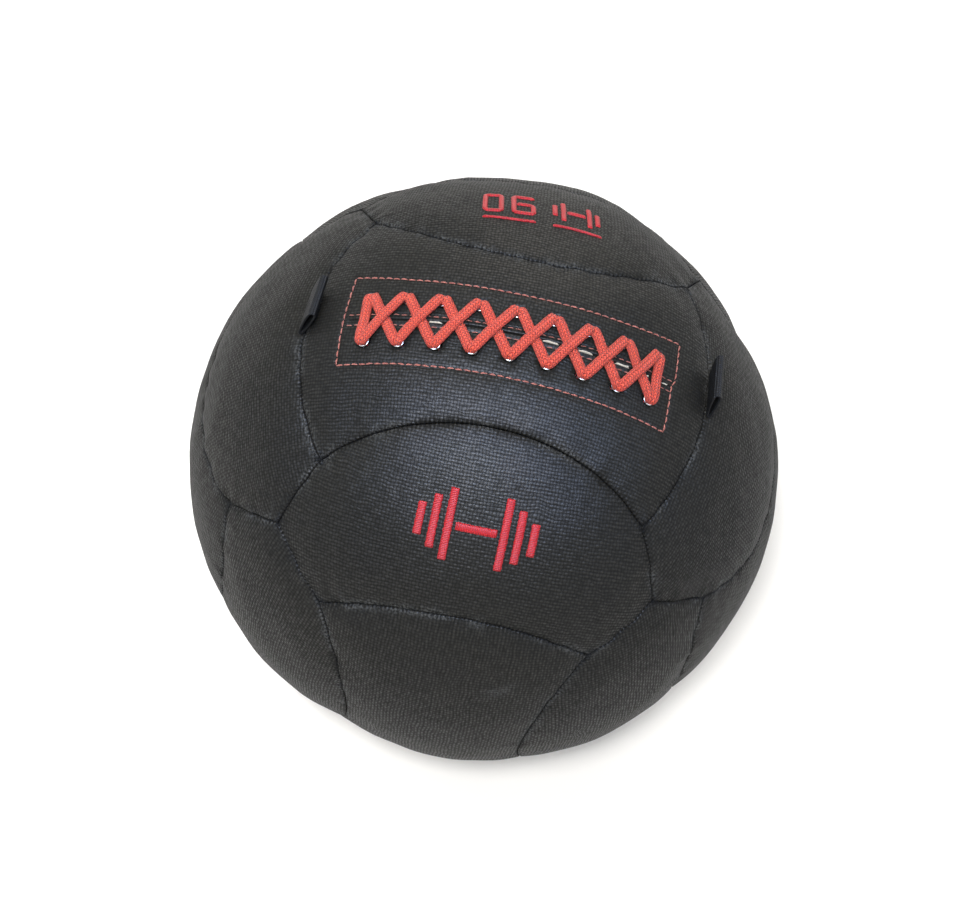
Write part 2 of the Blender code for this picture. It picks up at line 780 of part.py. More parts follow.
def belt_outline(root_radius, fold_radius):
    """The outline round a small circle at the origin and a larger one at the loop's reach."""
    spread = math.acos((root_radius - fold_radius) / LOOP_REACH)
    points = []
    for step in range(LOOP_ARC_STEPS + 1):
        angle = spread + (2 * math.pi - 2 * spread) * step / LOOP_ARC_STEPS
        points.append((root_radius * math.cos(angle), root_radius * math.sin(angle)))
    for step in range(LOOP_ARC_STEPS + 1):
        angle = -spread + 2 * spread * step / LOOP_ARC_STEPS
        across = LOOP_REACH + fold_radius * math.cos(angle)
        points.append((across, fold_radius * math.sin(angle)))
    return points


def loop_mesh(end):
    """One folded loop of webbing: a belt-shaped outline, as deep as the webbing is wide."""
    curve = bpy.data.curves.new("webbing_outline", "CURVE")
    curve.dimensions = "2D"
    curve.fill_mode = "BOTH"
    curve.extrude = LOOP_WIDTH / 2
    inner = (LOOP_ROOT_RADIUS - LOOP_WEBBING, LOOP_FOLD_RADIUS - LOOP_WEBBING)
    for radii in ((LOOP_ROOT_RADIUS, LOOP_FOLD_RADIUS), inner):
        outline = belt_outline(*radii)
        spline = curve.splines.new("POLY")
        spline.points.add(len(outline) - 1)
        spline.use_cyclic_u = True
        for point, (across, up) in zip(spline.points, outline):
            point.co = (across, up, 0.0, 1.0)
    drawn = bpy.data.objects.new("webbing_outline", curve)
    bpy.context.scene.collection.objects.link(drawn)
    bpy.context.view_layer.update()
    evaluated = drawn.evaluated_get(bpy.context.evaluated_depsgraph_get())
    mesh = bpy.data.meshes.new_from_object(evaluated)
    bpy.data.objects.remove(drawn)
    bm = bmesh.new()
    bm.from_mesh(mesh)
    bmesh.ops.remove_doubles(bm, verts=bm.verts, dist=MERGE_DISTANCE)
    bmesh.ops.rotate(bm, verts=bm.verts, matrix=Matrix.Rotation(math.pi / 2, 3, "X"))
    for vert in bm.verts:
        vert.co.y += end * LOOP_SKEW_SHARE * vert.co.x
    return finish_mesh(bm, "webbing_loop")


def loop_frame(end):
    """Where a loop is sewn: its own X out over the side panel, and Z out of the ball."""
    seam = seam_plane(end_seam_points(end), Z)
    front, _, rear = end_seam_points(end)
    up = point_on_seam(seam, front, rear, LOOP_SEAM_SHARE).normalized()
    outward = seam[0] - up * up.dot(seam[0])
    outward.normalize()
    turn = Matrix((outward, up.cross(outward), up)).transposed().to_4x4()
    height = BALL_RADIUS - SEAM_DEPTH + CLEARANCE + LOOP_ROOT_RADIUS
    return Matrix.Translation(up * height) @ turn


def build_loops(ball, webbing):
    """The two loops, each with its origin on the seam that it turns about."""
    for name, end in (("webbing_loop_left", -1), ("webbing_loop_right", 1)):
        lean = Matrix.Rotation(-LOOP_LEANS[name], 4, "Y")
        loop = ball.add(name, loop_mesh(end), webbing)
        loop.matrix_local = loop_frame(end) @ lean


# Filling


def round_shell(radius):
    """A closed round form, as a bmesh."""
    bm = bmesh.new()
    bmesh.ops.create_icosphere(bm, subdivisions=ROUND_DETAIL, radius=radius)
    return bm


def flatness_share():
    """How near its middle the facets of a round form of radius 1 come."""
    bm = round_shell(1.0)
    share = lowest_radius(bm)
    bm.free()
    return share


def arc_points(radius, start, end, steps):
    """Points of a profile along an arc, by angle down from the top."""
    points = []
    for step in range(steps + 1):
        angle = start + (end - start) * step / steps
        points.append((radius * math.sin(angle), radius * math.cos(angle)))
    return points


def build_bag(ball, radius, cloth):
    """The inner bag: a thin round shell, open along a mouth under the slit."""
    bm = round_shell(radius)
    hollow = round_shell(radius - BAG_THICKNESS)
    bag = ball.add("inner_bag", finish_mesh(bm, "inner_bag"), cloth)
    cut_with(bag, ball.add_cutter("bag_hollow", finish_mesh(hollow, "bag_hollow")))
    mouth = bmesh.new()
    bmesh.ops.create_cube(mouth, size=1.0)
    size = (BAG_MOUTH_LENGTH, BAG_MOUTH_WIDTH, radius)
    bmesh.ops.scale(mouth, verts=mouth.verts, vec=size)
    cutter = ball.add_cutter("bag_mouth", finish_mesh(mouth, "bag_mouth"))
    cutter.location.z = radius
    cut_with(bag, cutter)


def build_stuffing(ball, radius, filling):
    """The shredded filling: two halves that meet at the middle, hollowed for the sack."""
    hollow = round_shell((SACK_RADIUS + CLEARANCE) / flatness_share())
    hollow_cutter = ball.add_cutter("sack_hollow", finish_mesh(hollow, "sack_hollow"))
    neck_top = SACK_RADIUS + SACK_NECK_HEIGHT + SACK_FRILL_HEIGHT + CLEARANCE
    neck = bmesh.new()
    bmesh.ops.create_cone(
        neck, cap_ends=True, segments=TURNED_STEPS, depth=neck_top,
        radius1=frill_radius() + OVERRUN, radius2=frill_radius() + OVERRUN,
        matrix=Matrix.Translation(Z * neck_top / 2),
    )
    neck_cutter = ball.add_cutter("neck_hollow", finish_mesh(neck, "neck_hollow"))
    for name, way in (("stuffing_lower", 1), ("stuffing_upper", -1)):
        bm = round_shell(radius)
        cut = bmesh.ops.bisect_plane(
            bm, geom=bm.verts[:] + bm.edges[:] + bm.faces[:], dist=MERGE_DISTANCE,
            plane_co=-Z * way * CLEARANCE / 2, plane_no=Z * way, clear_outer=True,
        )
        rim = [part for part in cut["geom_cut"] if isinstance(part, bmesh.types.BMEdge)]
        bmesh.ops.edgeloop_fill(bm, edges=rim)
        half = ball.add(name, finish_mesh(bm, name), filling)
        cut_with(half, hollow_cutter)
        if way < 0:
            cut_with(half, neck_cutter)


def frill_radius():
    """How wide the sack opens over its tie."""
    return SACK_NECK_RADIUS + SACK_FRILL_WIDTH


def build_sack(ball, cloth, sand, cord):
    """The sack of iron sand, gathered over the sand and tied round its neck."""
    neck_angle = math.asin(SACK_NECK_RADIUS / SACK_RADIUS)
    inner_radius = SACK_RADIUS - SACK_WALL
    inner_neck = SACK_NECK_RADIUS - SACK_WALL
    inner_angle = math.asin(inner_neck / inner_radius)
    neck_top = SACK_RADIUS + SACK_NECK_HEIGHT
    frill_top = neck_top + SACK_FRILL_HEIGHT
    outside = [
        (frill_radius(), frill_top),
        (SACK_NECK_RADIUS, neck_top),
        *arc_points(SACK_RADIUS, neck_angle, math.pi, ARC_STEPS),
    ]
    inside = [
        (frill_radius() - SACK_WALL, frill_top),
        (inner_neck, neck_top),
        *arc_points(inner_radius, inner_angle, math.pi, ARC_STEPS),
    ]
    sack = ball.add("ballast_bag", turned_profile("sack", inside[::-1] + outside), cloth)
    turn_about_z(sack, TURNED_STEPS)
    sand_radius = inner_radius - CLEARANCE
    level = sand_radius * SAND_FILL_SHARE
    heap = [
        (across, height)
        for across, height in arc_points(sand_radius, inner_angle, math.pi, ARC_STEPS)
        if height < level
    ]
    heap.insert(0, (0.0, heap[0][1]))
    grains = ball.add("iron_sand", turned_profile("sand", heap), sand)
    turn_about_z(grains, TURNED_STEPS)
    tie_height = SACK_RADIUS + SACK_NECK_HEIGHT / 2
    ring = [
        (SACK_NECK_RADIUS + CLEARANCE + TIE_RADIUS + across, tie_height + height)
        for across, height in arc_points(TIE_RADIUS, 0.0, 2 * math.pi, TIE_STEPS)[:-1]
    ]
    tie = ball.add("ballast_tie", turned_profile("tie", ring, closed=True), cord)
    turn_about_z(tie, TURNED_STEPS)


def main():
    """Build the ball."""
    clear_scene()
    ball = Ball()
    fabric = make_material("vinyl_coated_fabric", "34363A", 0.62)
    braid = make_material("braided_polyester_lace", "F0513F", 0.75)
    metal = make_material("nickel_plated_brass", "C9C9C6", 0.30, 1.0)
    canvas = make_material("backing_canvas", "2B2C2E", 0.85)
    webbing = make_material("polypropylene_webbing", "17181A", 0.70)
    bag_cloth = make_material("white_woven_bag", "E8E8E4", 0.80)
    shreds = make_material("shredded_fabric", "7C7A78", 0.95)
    sack_cloth = make_material("calico_sack", "D8CFB8", 0.90)
    sand = make_material("iron_sand", "3A3634", 0.60)
    cord = make_material("nylon_tie", "F2F2EE", 0.50)
    back_radius = build_cover(ball, fabric)
    build_patch(ball, canvas)
    build_eyelets(ball, metal)
    build_lace(ball, braid)
    build_loops(ball, webbing)
    bag_radius = min(back_radius, BALL_RADIUS - LACING_DEPTH) - CLEARANCE
    build_bag(ball, bag_radius, bag_cloth)
    build_stuffing(ball, bag_radius - BAG_THICKNESS - CLEARANCE, shreds)
    build_sack(ball, sack_cloth, sand, cord)


main()
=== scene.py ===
"""The looks of a laced wall ball, 350 mm across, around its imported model.

Metres, +Z up, with the floor at zero. Every panel of the cover follows the same seams as the
solids do, and everything on a panel is laid on that panel's own surface.
"""

import json
import math

import bpy
import numpy as np
from mathutils import Matrix, Vector


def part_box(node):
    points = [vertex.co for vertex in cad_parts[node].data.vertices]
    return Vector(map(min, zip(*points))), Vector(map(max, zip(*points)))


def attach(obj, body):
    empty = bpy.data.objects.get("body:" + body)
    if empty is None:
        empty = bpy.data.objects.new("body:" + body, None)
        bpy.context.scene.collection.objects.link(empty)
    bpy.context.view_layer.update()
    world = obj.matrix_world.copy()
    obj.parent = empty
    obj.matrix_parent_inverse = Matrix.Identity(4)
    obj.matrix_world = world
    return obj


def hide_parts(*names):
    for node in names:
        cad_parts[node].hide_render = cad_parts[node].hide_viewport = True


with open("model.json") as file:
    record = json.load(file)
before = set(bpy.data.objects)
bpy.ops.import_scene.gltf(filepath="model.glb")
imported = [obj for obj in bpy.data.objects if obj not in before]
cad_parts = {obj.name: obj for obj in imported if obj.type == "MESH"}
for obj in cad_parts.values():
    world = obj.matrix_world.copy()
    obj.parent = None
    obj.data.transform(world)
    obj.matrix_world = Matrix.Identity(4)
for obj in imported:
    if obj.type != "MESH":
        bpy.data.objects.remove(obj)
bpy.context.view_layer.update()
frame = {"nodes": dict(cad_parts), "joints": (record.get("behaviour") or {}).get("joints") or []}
bpy.ops.object.select_all(action="DESELECT")

MM = 0.001

# The ball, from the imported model: its sides stand upright round its middle
LOW_FRONT, HIGH_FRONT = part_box("panel_front_centre")
RADIUS = -LOW_FRONT.y
CENTRE = np.array((0.0, 0.0, (LOW_FRONT.z + HIGH_FRONT.z) / 2))
X, Y, Z = np.eye(3)

# Seams of a group of three strips, as angles from the middle of the group
CORNER_ANGLE = math.radians(40.2)
CORNER_AZIMUTH = math.radians(40.7)
END_SEAM_ANGLE = math.radians(39.1)
WAIST_ANGLE = math.radians(16.8)

# Padding: how low the seams lie, how far in a panel is crowned, the fold at its edge, its
# thickness, and the share of faces that its hidden back keeps
SEAM_DEPTH = 2.0 * MM
CROWN_REACH = 30 * MM
CROWN_POWER = 2.5
FOLD_RADIUS = 1.25 * MM
SEAM_TUCK = 4.0 * MM
PANEL_WALL = 7.0 * MM
BACK_FACES_LEFT = 0.06

# Puckers where the seam thread draws the fabric in, and the dents of a loose filling
PUCKER = 0.34 * MM
PUCKER_REACH = 8 * MM
PUCKER_SIZES = (8 * MM, 18 * MM)
LUMP = 0.55 * MM
LUMP_SIZES = (75 * MM, 150 * MM)
DENT = 0.17 * MM
DENT_SIZES = (22 * MM, 45 * MM)

# The stitches of the seams, how far from a seam its lips are worn and painted with a highlight,
# how long those worn and lit stretches are, and one scuff with its way
STITCH_PITCH = 2.4 * MM
WORN_LIT_LIP_WIDTH = 1.2 * MM
WORN_LIT_LIP_SIZES = (12 * MM, 40 * MM)
SCUFF = (0.179, -0.898, 0.401)
SCUFF_WAY = (0.85, 0.30, 0.43)
SCUFF_SIZE = (7 * MM, 1.6 * MM)

# How the webbing loops press the cover down round their roots
LOOP_PRESS = 1.0 * MM
LOOP_PRESS_REACH = 16 * MM

# Where the filling has sunk: a direction from the middle, and how far in, in millimetres
SUNK_REACH = math.radians(22)
SUNK = (
    ((0.74, 0.54, 0.40), 4.6), ((0.31, 0.80, 0.52), 1.2), ((-0.20, 0.83, 0.52), 3.7),
    ((-0.66, 0.62, 0.43), 1.8), ((-0.31, -0.92, -0.23), 1.9), ((0.94, -0.35, 0.02), 2.6),
    ((0.65, -0.74, -0.15), 0.6),
)

# Where the seams' corners were sewn a little off: a direction, and the move in millimetres
DRIFT_REACH = math.radians(13)
DRIFTS = (
    ((-0.489, -0.421, 0.764), (-0.8, 0.0, -0.5)), ((-0.577, -0.577, 0.577), (-2.2, 1.0, -1.2)),
    ((0.577, -0.577, 0.577), (2.6, -0.9, -3.5)), ((-0.764, -0.489, 0.421), (-1.6, 1.4, -1.5)),
    ((0.764, -0.489, 0.421), (-2.6, 0.8, 5.0)), ((0.489, 0.421, 0.764), (4.6, 1.8, -3.9)),
    ((-0.489, 0.421, 0.764), (-2.2, 2.0, -2.5)), ((-0.421, -0.764, 0.489), (0.2, -1.0, -1.5)),
)

# Lacing, along and across the filling slit, and the eyelets' rings and barrels
ROW_TO_ROW = 25.2 * MM
EYELETS_PER_ROW = 9
EYELET_PITCH = 19.65 * MM
SLIT_HALF = 91.4 * MM
EYELET_WIRE = (2.9 * MM, 0.5 * MM)
EYELET_BARREL = 2.6 * MM

# The facing's outer row of stitches: corners and middles, along and across the slit
FACING_OUTLINE = [
    (along * MM, across * MM) for along, across in (
        (-92.5, 27.0), (-60.0, 25.2), (0.0, 24.2), (60.0, 25.2), (92.5, 27.0),
        (92.8, 4.0), (91.0, 0.0), (92.0, -26.0), (60.0, -25.0), (0.0, -24.6),
        (-60.0, -25.0), (-92.5, -26.0), (-93.5, 0.0), (-92.5, 27.0),
    )
]
SLIT_ROW = 3.1 * MM

# How deep, and how wide, the lace panel is shaped by its sewing, its slit and its eyelets
OUTLINE_GROOVE = (0.50 * MM, 1.1 * MM)
ROW_GROOVE = (0.45 * MM, 0.9 * MM)
LIP_RISE = (0.20 * MM, MM)
SLIT_GAP = (4.0 * MM, 0.34 * MM)
EYELET_DENT = (0.35 * MM, 6 * MM)
BORE_PIT = (5 * MM, 3.4 * MM)

# Where that is: the lips from the slit, the fade at its ends, the flat of the facing from the
# middle, and how far round it the sewing calms the panel
LIP_OFFSET = 1.4 * MM
SLIT_FADE = 2 * MM
FACING_FLAT = (92 * MM, 25 * MM)
CALM_REACH = 18 * MM

# Stitches: how far apart in a row, how much each is askew, and the length and width of one
STITCH_STEP = 4.4 * MM
STITCH_JITTER = 0.05
FACING_STITCH = (4.0 * MM, 0.85 * MM)
SLIT_STITCH = (3.2 * MM, 0.6 * MM)

# The inner bag's mouth, in millimetres: how far it reaches from the middle of the slit, half its
# width, how much it crumples and in what lengths, its crest, how much higher that is where it
# peeps out, how far its sides go down, its cloth, and where along the slit it peeps out
MOUTH_REACH = 88
MOUTH_HALF = 0.16
MOUTH_CRUMPLE = 0.12
CRUMPLE_SIZES = (5 * MM, 13 * MM)
MOUTH_CREST = -3.2
MOUTH_RISE = 3.6
MOUTH_DROP = 2.4
MOUTH_WALL = 0.12
BAG_PEEPS = ((-46, -37), (14, 25), (32, 44), (55, 65), (73.5, 77.5), (84, 90))

# Lace: its width and thickness, how square its section is, how it lies over the panel, and from
# what height down an eyelet shades it
LACE_WIDTH = 5.9 * MM
LACE_THICKNESS = 2.5 * MM
LACE_SECTION = (0.75, 0.85)
LACE_IN_BORE = 2.7 * MM
STRAND_OFFSET = 1.15 * MM
OVER_AT_EYELET = 0.8 * MM
LACE_LEVEL = 2.5 * MM
LOW_CROSSING = 1.7 * MM
HIGH_CROSSING = 4.1 * MM
UNDER_PANEL = -5.6 * MM
KNOT_INSET = 7 * MM
LACE_STEP = 0.6 * MM
EYELET_SHADE = 1.4 * MM

# Satin stitch: its height over the cloth, its wall, its ragged sides, and its rounded ends
SATIN_HEIGHT = 0.9 * MM
SATIN_WALL = 0.4 * MM
SATIN_STEP = 0.7 * MM
RAGGED_EDGE = 0.12 * MM
ROUNDED_END = 1.2 * MM

# Studio: the floor, how far it is kept below the ball, what it gives the eye besides its light,
# which grows from the first of two distances to the second, and the sky's strength as a light
FLOOR_SIZE = 12
FLOOR_GAP = 0.2 * MM
FLOOR_GLOW = 0.10
GLOW_REACH = (0.5, 2.5)
SKY_LIGHT = 0.10

# Soft boxes: a direction from the ball, how far, how wide, the watts and the tint
SOFT_LIGHTS = (
    ("key_light", (-0.42, 0.10, 0.90), 2.4, 1.0, 23, "FFFCF8"),
    ("front_light", (-0.07, -0.33, 0.941), 2.0, 0.3, 45, "FFFAF2"),
    ("rear_light", (0.05, 0.85, 0.45), 2.4, 1.3, 25, "FFF8EC"),
)
# A wide pale blue card beside the camera, seen only as the sheen across the ball
SHEEN_CARD = ("sheen_card", (0.02, -0.23, 0.97), 1.6, 2.2, 81, "A9C8FF")
CARD_HEIGHT = 0.5

# Camera, as found from the photograph, with its sensor and lens in millimetres
CAMERA_ELEVATION = math.radians(66.55)
CAMERA_ROLL = math.radians(-12.29)
CAMERA_AZIMUTH = math.radians(0.8)
CAMERA_DISTANCE = 6.43 * RADIUS
CAMERA_SENSOR = 36
CAMERA_LENS = 69.64
CAMERA_SHIFT = 0.0112

# Webbing loops: a folded belt round a small root and a wider fold, bulging between them, most
# in the middle of its width
LOOP_WIDTH = 25 * MM
LOOP_WEBBING = 1.2 * MM
LOOP_ROOT_RADIUS = 1.6 * MM
LOOP_FOLD_RADIUS = 2.3 * MM
LOOP_REACH = 11.5 * MM
LOOP_BULGE = 0.5 * MM
LOOP_EDGE_FLATTER = 0.4
LOOP_SKEW_SHARE = 0.4
LOOP_EDGE = 0.35 * MM
LOOP_LEANS = {"webbing_loop_left": math.radians(150), "webbing_loop_right": math.radians(120)}

# Each side panel and each centre panel, by the axis of its group and the way its seams run
SIDE_PANELS = {
    "panel_top_front": (Z, X),
    "panel_top_rear": (Z, -X),
    "panel_bottom_front": (-Z, -X),
    "panel_bottom_rear": (-Z, X),
    "panel_front_left": (-Y, -Z),
    "panel_front_right": (-Y, Z),
    "panel_back_left": (Y, Z),
    "panel_back_right": (Y, -Z),
    "panel_right_upper": (X, -Y),
    "panel_right_lower": (X, Y),
    "panel_left_upper": (-X, Y),
    "panel_left_lower": (-X, -Y),
}
CENTRE_PANELS = {
    "panel_top_lace": (Z, X),
    "panel_bottom_centre": (-Z, X),
    "panel_front_centre": (-Y, Z),
    "panel_back_centre": (Y, Z),
    "panel_right_centre": (X, Y),
    "panel_left_centre": (-X, Y),
}


def unit(vectors):
    """Vectors, each made one long."""
    return vectors / np.linalg.norm(vectors, axis=-1, keepdims=True)


def near_line(distance, width):
    """How near a line something is: 1 on it, falling to 0 over a width."""
    return np.exp(-(distance / width) ** 2)


def near_spot(directions, place, reach):
    """How near directions are to a place on the ball: 1 at it, falling to 0 over an angle."""
    return near_line(np.arccos(np.clip(directions @ unit(place), -1, 1)), reach)


def leftwards(ways):
    """Ways in a plane, each turned a quarter turn to its left."""
    return np.stack((-ways[:, 1], ways[:, 0]), -1)


def linear_colour(hex_code):
    """Turn an sRGB hex code into the linear colour that a shader takes."""
    channels = [int(hex_code[start:start + 2], 16) / 255 for start in (0, 2, 4)]
    return tuple(
        value / 12.92 if value <= 0.04045 else ((value + 0.055) / 1.055) ** 2.4
        for value in channels
    ) + (1.0,)


# Materials


def set_stops(node, codes, shares=(0.0, 1.0)):
    """Give the two stops of a node's colour ramp their colours and their places."""
    for stop, code, share in zip(node.color_ramp.elements, codes, shares):
        stop.color, stop.position = linear_colour(code), share


def feed(tree, node, inputs):
    """Give inputs their values, or links from sockets or from the first outputs of nodes."""
    for socket, source in inputs.items():
        if isinstance(source, bpy.types.Node):
            source = source.outputs[0]
        if isinstance(source, bpy.types.NodeSocket):
            tree.links.new(source, node.inputs[socket])
        else:
            node.inputs[socket].default_value = source


def add_node(tree, kind, inputs=(), **settings):
    """Add a node with its settings and links. Its inputs are named, or come in their order."""
    node = tree.nodes.new("ShaderNode" + kind)
    for name, value in settings.items():
        setattr(node, name, value)
    feed(tree, node, inputs if isinstance(inputs, dict) else dict(enumerate(inputs)))
    return node


def new_material(name, hex_code, roughness, **sockets):
    """A material with one Principled shader. Returns it with its tree and its shader."""
    material = bpy.data.materials.new(name)
    material.use_nodes = True
    tree = material.node_tree
    shader = tree.nodes["Principled BSDF"]
    feed(tree, shader, {"Base Color": linear_colour(hex_code), "Roughness": roughness})
    feed(tree, shader, {socket.replace("_", " "): value for socket, value in sockets.items()})
    return material, tree, shader


def seam_notches(tree):
    """Small pits along a seam, one for each stitch that draws the fold of the cloth in."""
    sharpness, depth, width = 4.0, 2.2, 1.1 * MM
    seam = add_node(tree, "SeparateXYZ", (add_node(tree, "UVMap", uv_map="seam"),))
    turns = add_node(tree, "Math", (seam.outputs["X"], math.pi), operation="MULTIPLY")
    wave = add_node(tree, "Math", (turns,), operation="COSINE")
    pits = add_node(tree, "Math", (wave, sharpness), operation="POWER")
    reach = add_node(tree, "Math", (seam.outputs["Y"], -1 / width), operation="MULTIPLY")
    near = add_node(tree, "Math", (reach,), operation="EXPONENT")
    deep = add_node(tree, "Math", (near, depth), operation="MULTIPLY")
    return add_node(tree, "Math", (pits, deep), operation="MULTIPLY")


def coated_basket_weave():
    """PVC-coated polyester in a plain weave of thick flat yarns.

    The yarns stand proud of each other where they cross. The coating on the weft glints, so
    the cloth looks covered in short bright dashes, laid like bricks over a near-black ground.
    Its colour is painted lighter on the yarns and darker in the gaps, as painted light and shade.
    """
    material, tree, shader = new_material(
        "coated_basket_weave", "2B2E33", 0.50, Specular_IOR_Level=0.12,
        Coat_Roughness=0.44, Coat_IOR=1.42
    )
    yarn_pitch = 1.87 * MM
    yarn_drift = 1.6 * MM
    place = add_node(tree, "UVMap", uv_map="cloth")
    drift = add_node(tree, "TexNoise", {"Vector": place, "Scale": 90.0, "Detail": 2.0})
    pushed = add_node(
        tree, "VectorMath", (drift.outputs["Color"], (yarn_drift, yarn_drift, 0.0), place),
        operation="MULTIPLY_ADD",
    )
    turned = add_node(
        tree, "VectorMath", {0: pushed, "Scale": math.pi / yarn_pitch}, operation="SCALE"
    )
    split = add_node(tree, "SeparateXYZ", (turned,))
    heights = {}
    for over, under, rise in (("X", "Y", 0.5), ("Y", "X", -0.5)):
        wave = add_node(tree, "Math", (split.outputs[over],), operation="COSINE")
        section = add_node(tree, "Math", (split.outputs[under],), operation="COSINE")
        side = add_node(tree, "Math", (section,), operation="SIGN")
        lifted = add_node(tree, "Math", (side, wave), operation="MULTIPLY")
        share = add_node(tree, "Math", (lifted, rise, 0.5), operation="MULTIPLY_ADD")
        length = add_node(tree, "Math", (share, 0.8), operation="POWER")
        round_section = add_node(tree, "Math", (section,), operation="ABSOLUTE")
        width = add_node(tree, "Math", (round_section, 0.9), operation="POWER")
        heights[over] = add_node(tree, "Math", (length, width), operation="MULTIPLY")
    lower_warp = add_node(tree, "Math", (heights["Y"], 0.72), operation="MULTIPLY")
    height = add_node(tree, "Math", (heights["X"], lower_warp), operation="MAXIMUM")
    # Each yarn is thicker and thinner along its length
    rows = add_node(tree, "Mapping", {"Vector": place, "Scale": (190.0, 620.0, 1.0)})
    uneven = add_node(tree, "TexNoise", {"Vector": rows, "Scale": 1.0, "Detail": 3.0})
    thickness = add_node(tree, "MapRange", (uneven, 0.3, 0.7, 0.45, 1.2))
    relief = add_node(tree, "Math", (height, thickness), operation="MULTIPLY")
    sewn = add_node(tree, "Math", (relief, seam_notches(tree)), operation="SUBTRACT")
    grain = add_node(tree, "TexNoise", {"Vector": place, "Scale": 3500.0, "Detail": 2.0})
    fine = add_node(tree, "Math", (grain, 0.16, sewn), operation="MULTIPLY_ADD")
    bump = add_node(tree, "Bump", {"Height": fine, "Distance": 0.50 * MM})
    # The dye has faded a little in patches
    patches = add_node(tree, "TexNoise", {"Vector": place, "Scale": 14.0, "Detail": 3.0})
    # Painted light and shade: lighter on the yarns' tops, darker in the gaps between them and in
    # the stitch pits
    ground = add_node(tree, "ValToRGB", (sewn,))
    set_stops(ground, ("11100B", "18160E"), (0.2, 1.0))
    faded = add_node(tree, "MapRange", (patches, 0.35, 0.65, 0.86, 1.14))
    coat = add_node(tree, "VectorMath", {0: ground, "Scale": faded}, operation="SCALE")
    # Grey flecks along the seams: the coating worn off their lips, and a painted highlight there
    # too
    worn_and_lit = add_node(tree, "Attribute", attribute_name="worn_and_lit").outputs["Fac"]
    speckle = add_node(tree, "TexNoise", {"Vector": place, "Scale": 700.0, "Detail": 3.0})
    worn = add_node(tree, "MapRange", (speckle, 0.42, 0.60, 0.0, 0.5))
    bare = add_node(tree, "Math", (worn_and_lit, worn), operation="MULTIPLY")
    colour = add_node(
        tree, "Mix", {"Factor": bare, 6: coat, 7: linear_colour("777B7E")}, data_type="RGBA"
    )
    gloss = add_node(tree, "MapRange", (relief, 0.3, 0.9, 0.90, 0.60))
    # The film of coating is thick on the yarns and thin between them
    film = add_node(tree, "MapRange", (sewn, 0.12, 0.80, 0.05, 0.54))
    film_bump = add_node(tree, "Bump", {"Height": fine, "Distance": 0.15 * MM})
    feed(tree, shader, {
        "Base Color": colour.outputs[2], "Roughness": gloss, "Normal": bump,
        "Coat Weight": film, "Coat Normal": film_bump,
    })
    return material


def braided_lace():
    """Polyester braid: plump ridges along it, crossed by slanting bundles of filament.

    Bundles meet in chevrons. The colour is painted lighter on the bundles and darker in the
    hollows between them, as painted highlight and shade, which breaks it into small light and
    dark flecks. Real bundles are 0.9 mm apart, too fine to show, so they are drawn 1.8 mm apart.
    """
    material, tree, shader = new_material(
        "braided_polyester", "F2503F", 0.62, Sheen_Weight=0.1, Specular_IOR_Level=0.3
    )
    per_bundle, per_ridge = math.pi / (1.8 * MM), math.pi / (1.5 * MM)
    place = add_node(tree, "UVMap", uv_map="cloth")
    split = add_node(tree, "SeparateXYZ", (place,))
    ridge_turns = add_node(tree, "Math", (split.outputs["Y"], per_ridge), operation="MULTIPLY")
    ridge_wave = add_node(tree, "Math", (ridge_turns,), operation="COSINE")
    ridges = add_node(tree, "Math", (ridge_wave,), operation="ABSOLUTE")
    lengthways = add_node(tree, "Math", (split.outputs["X"], per_bundle), operation="MULTIPLY")
    slanted = add_node(tree, "Math", (ridges, 2.6, lengthways), operation="MULTIPLY_ADD")
    bundle_wave = add_node(tree, "Math", (slanted,), operation="SINE")
    bundles = add_node(tree, "Math", (bundle_wave,), operation="ABSOLUTE")
    braid = add_node(tree, "Math", (ridges, 0.4, bundles), operation="MULTIPLY_ADD")
    stretched = add_node(tree, "Mapping", {"Vector": place, "Scale": (900.0, 2200.0, 1.0)})
    filaments = add_node(tree, "TexNoise", {"Vector": stretched, "Scale": 1.0, "Detail": 2.0})
    height = add_node(tree, "Math", (filaments, 1.2, braid), operation="MULTIPLY_ADD")
    bump = add_node(tree, "Bump", {"Height": height, "Distance": 0.50 * MM})
    # Painted highlight and shade: lighter where the braid stands high, darker in its hollows
    lit_share = add_node(tree, "Math", (height, 0.36), operation="MULTIPLY")
    shaded_dye = add_node(tree, "ValToRGB", (lit_share,))
    set_stops(shaded_dye, ("86151A", "EC5C42"), (0.34, 0.76))
    # Painted shade: the lace is darker red where it sinks into an eyelet
    deep = add_node(tree, "Attribute", attribute_name="in_eyelet").outputs["Fac"]
    shaded = add_node(
        tree, "Mix", {"Factor": deep, 6: shaded_dye, 7: linear_colour("B41226")}, data_type="RGBA"
    )
    feed(tree, shader, {"Base Color": shaded.outputs[2], "Normal": bump})
    return material


def satin_thread(name, hex_code, dark_code, pitch):
    """Polyester sewing thread: plies or laid threads that show as fine soft ribs."""
    material, tree, shader = new_material(
        name, hex_code, 0.48, Sheen_Weight=0.06, Specular_IOR_Level=0.25
    )
    # A wave texture has one band for each 20 / 2 pi of its scale
    scale = 2 * math.pi / (20 * pitch)
    place = add_node(tree, "UVMap", uv_map="cloth")
    plies = add_node(
        tree, "TexWave",
        {"Vector": place, "Scale": scale, "Distortion": 1.5, "Detail": 1.0, "Detail Scale": 2.0},
        bands_direction="X",
    ).outputs["Fac"]
    bump = add_node(tree, "Bump", {"Height": plies, "Distance": 0.14 * MM})
    # Painted shade: the thread is darker in the grooves between its plies, lighter on their tops
    shaded_dye = add_node(tree, "ValToRGB", (plies,))
    set_stops(shaded_dye, (dark_code, hex_code), (0.0, 0.6))
    feed(tree, shader, {"Base Color": shaded_dye, "Normal": bump})
    return material


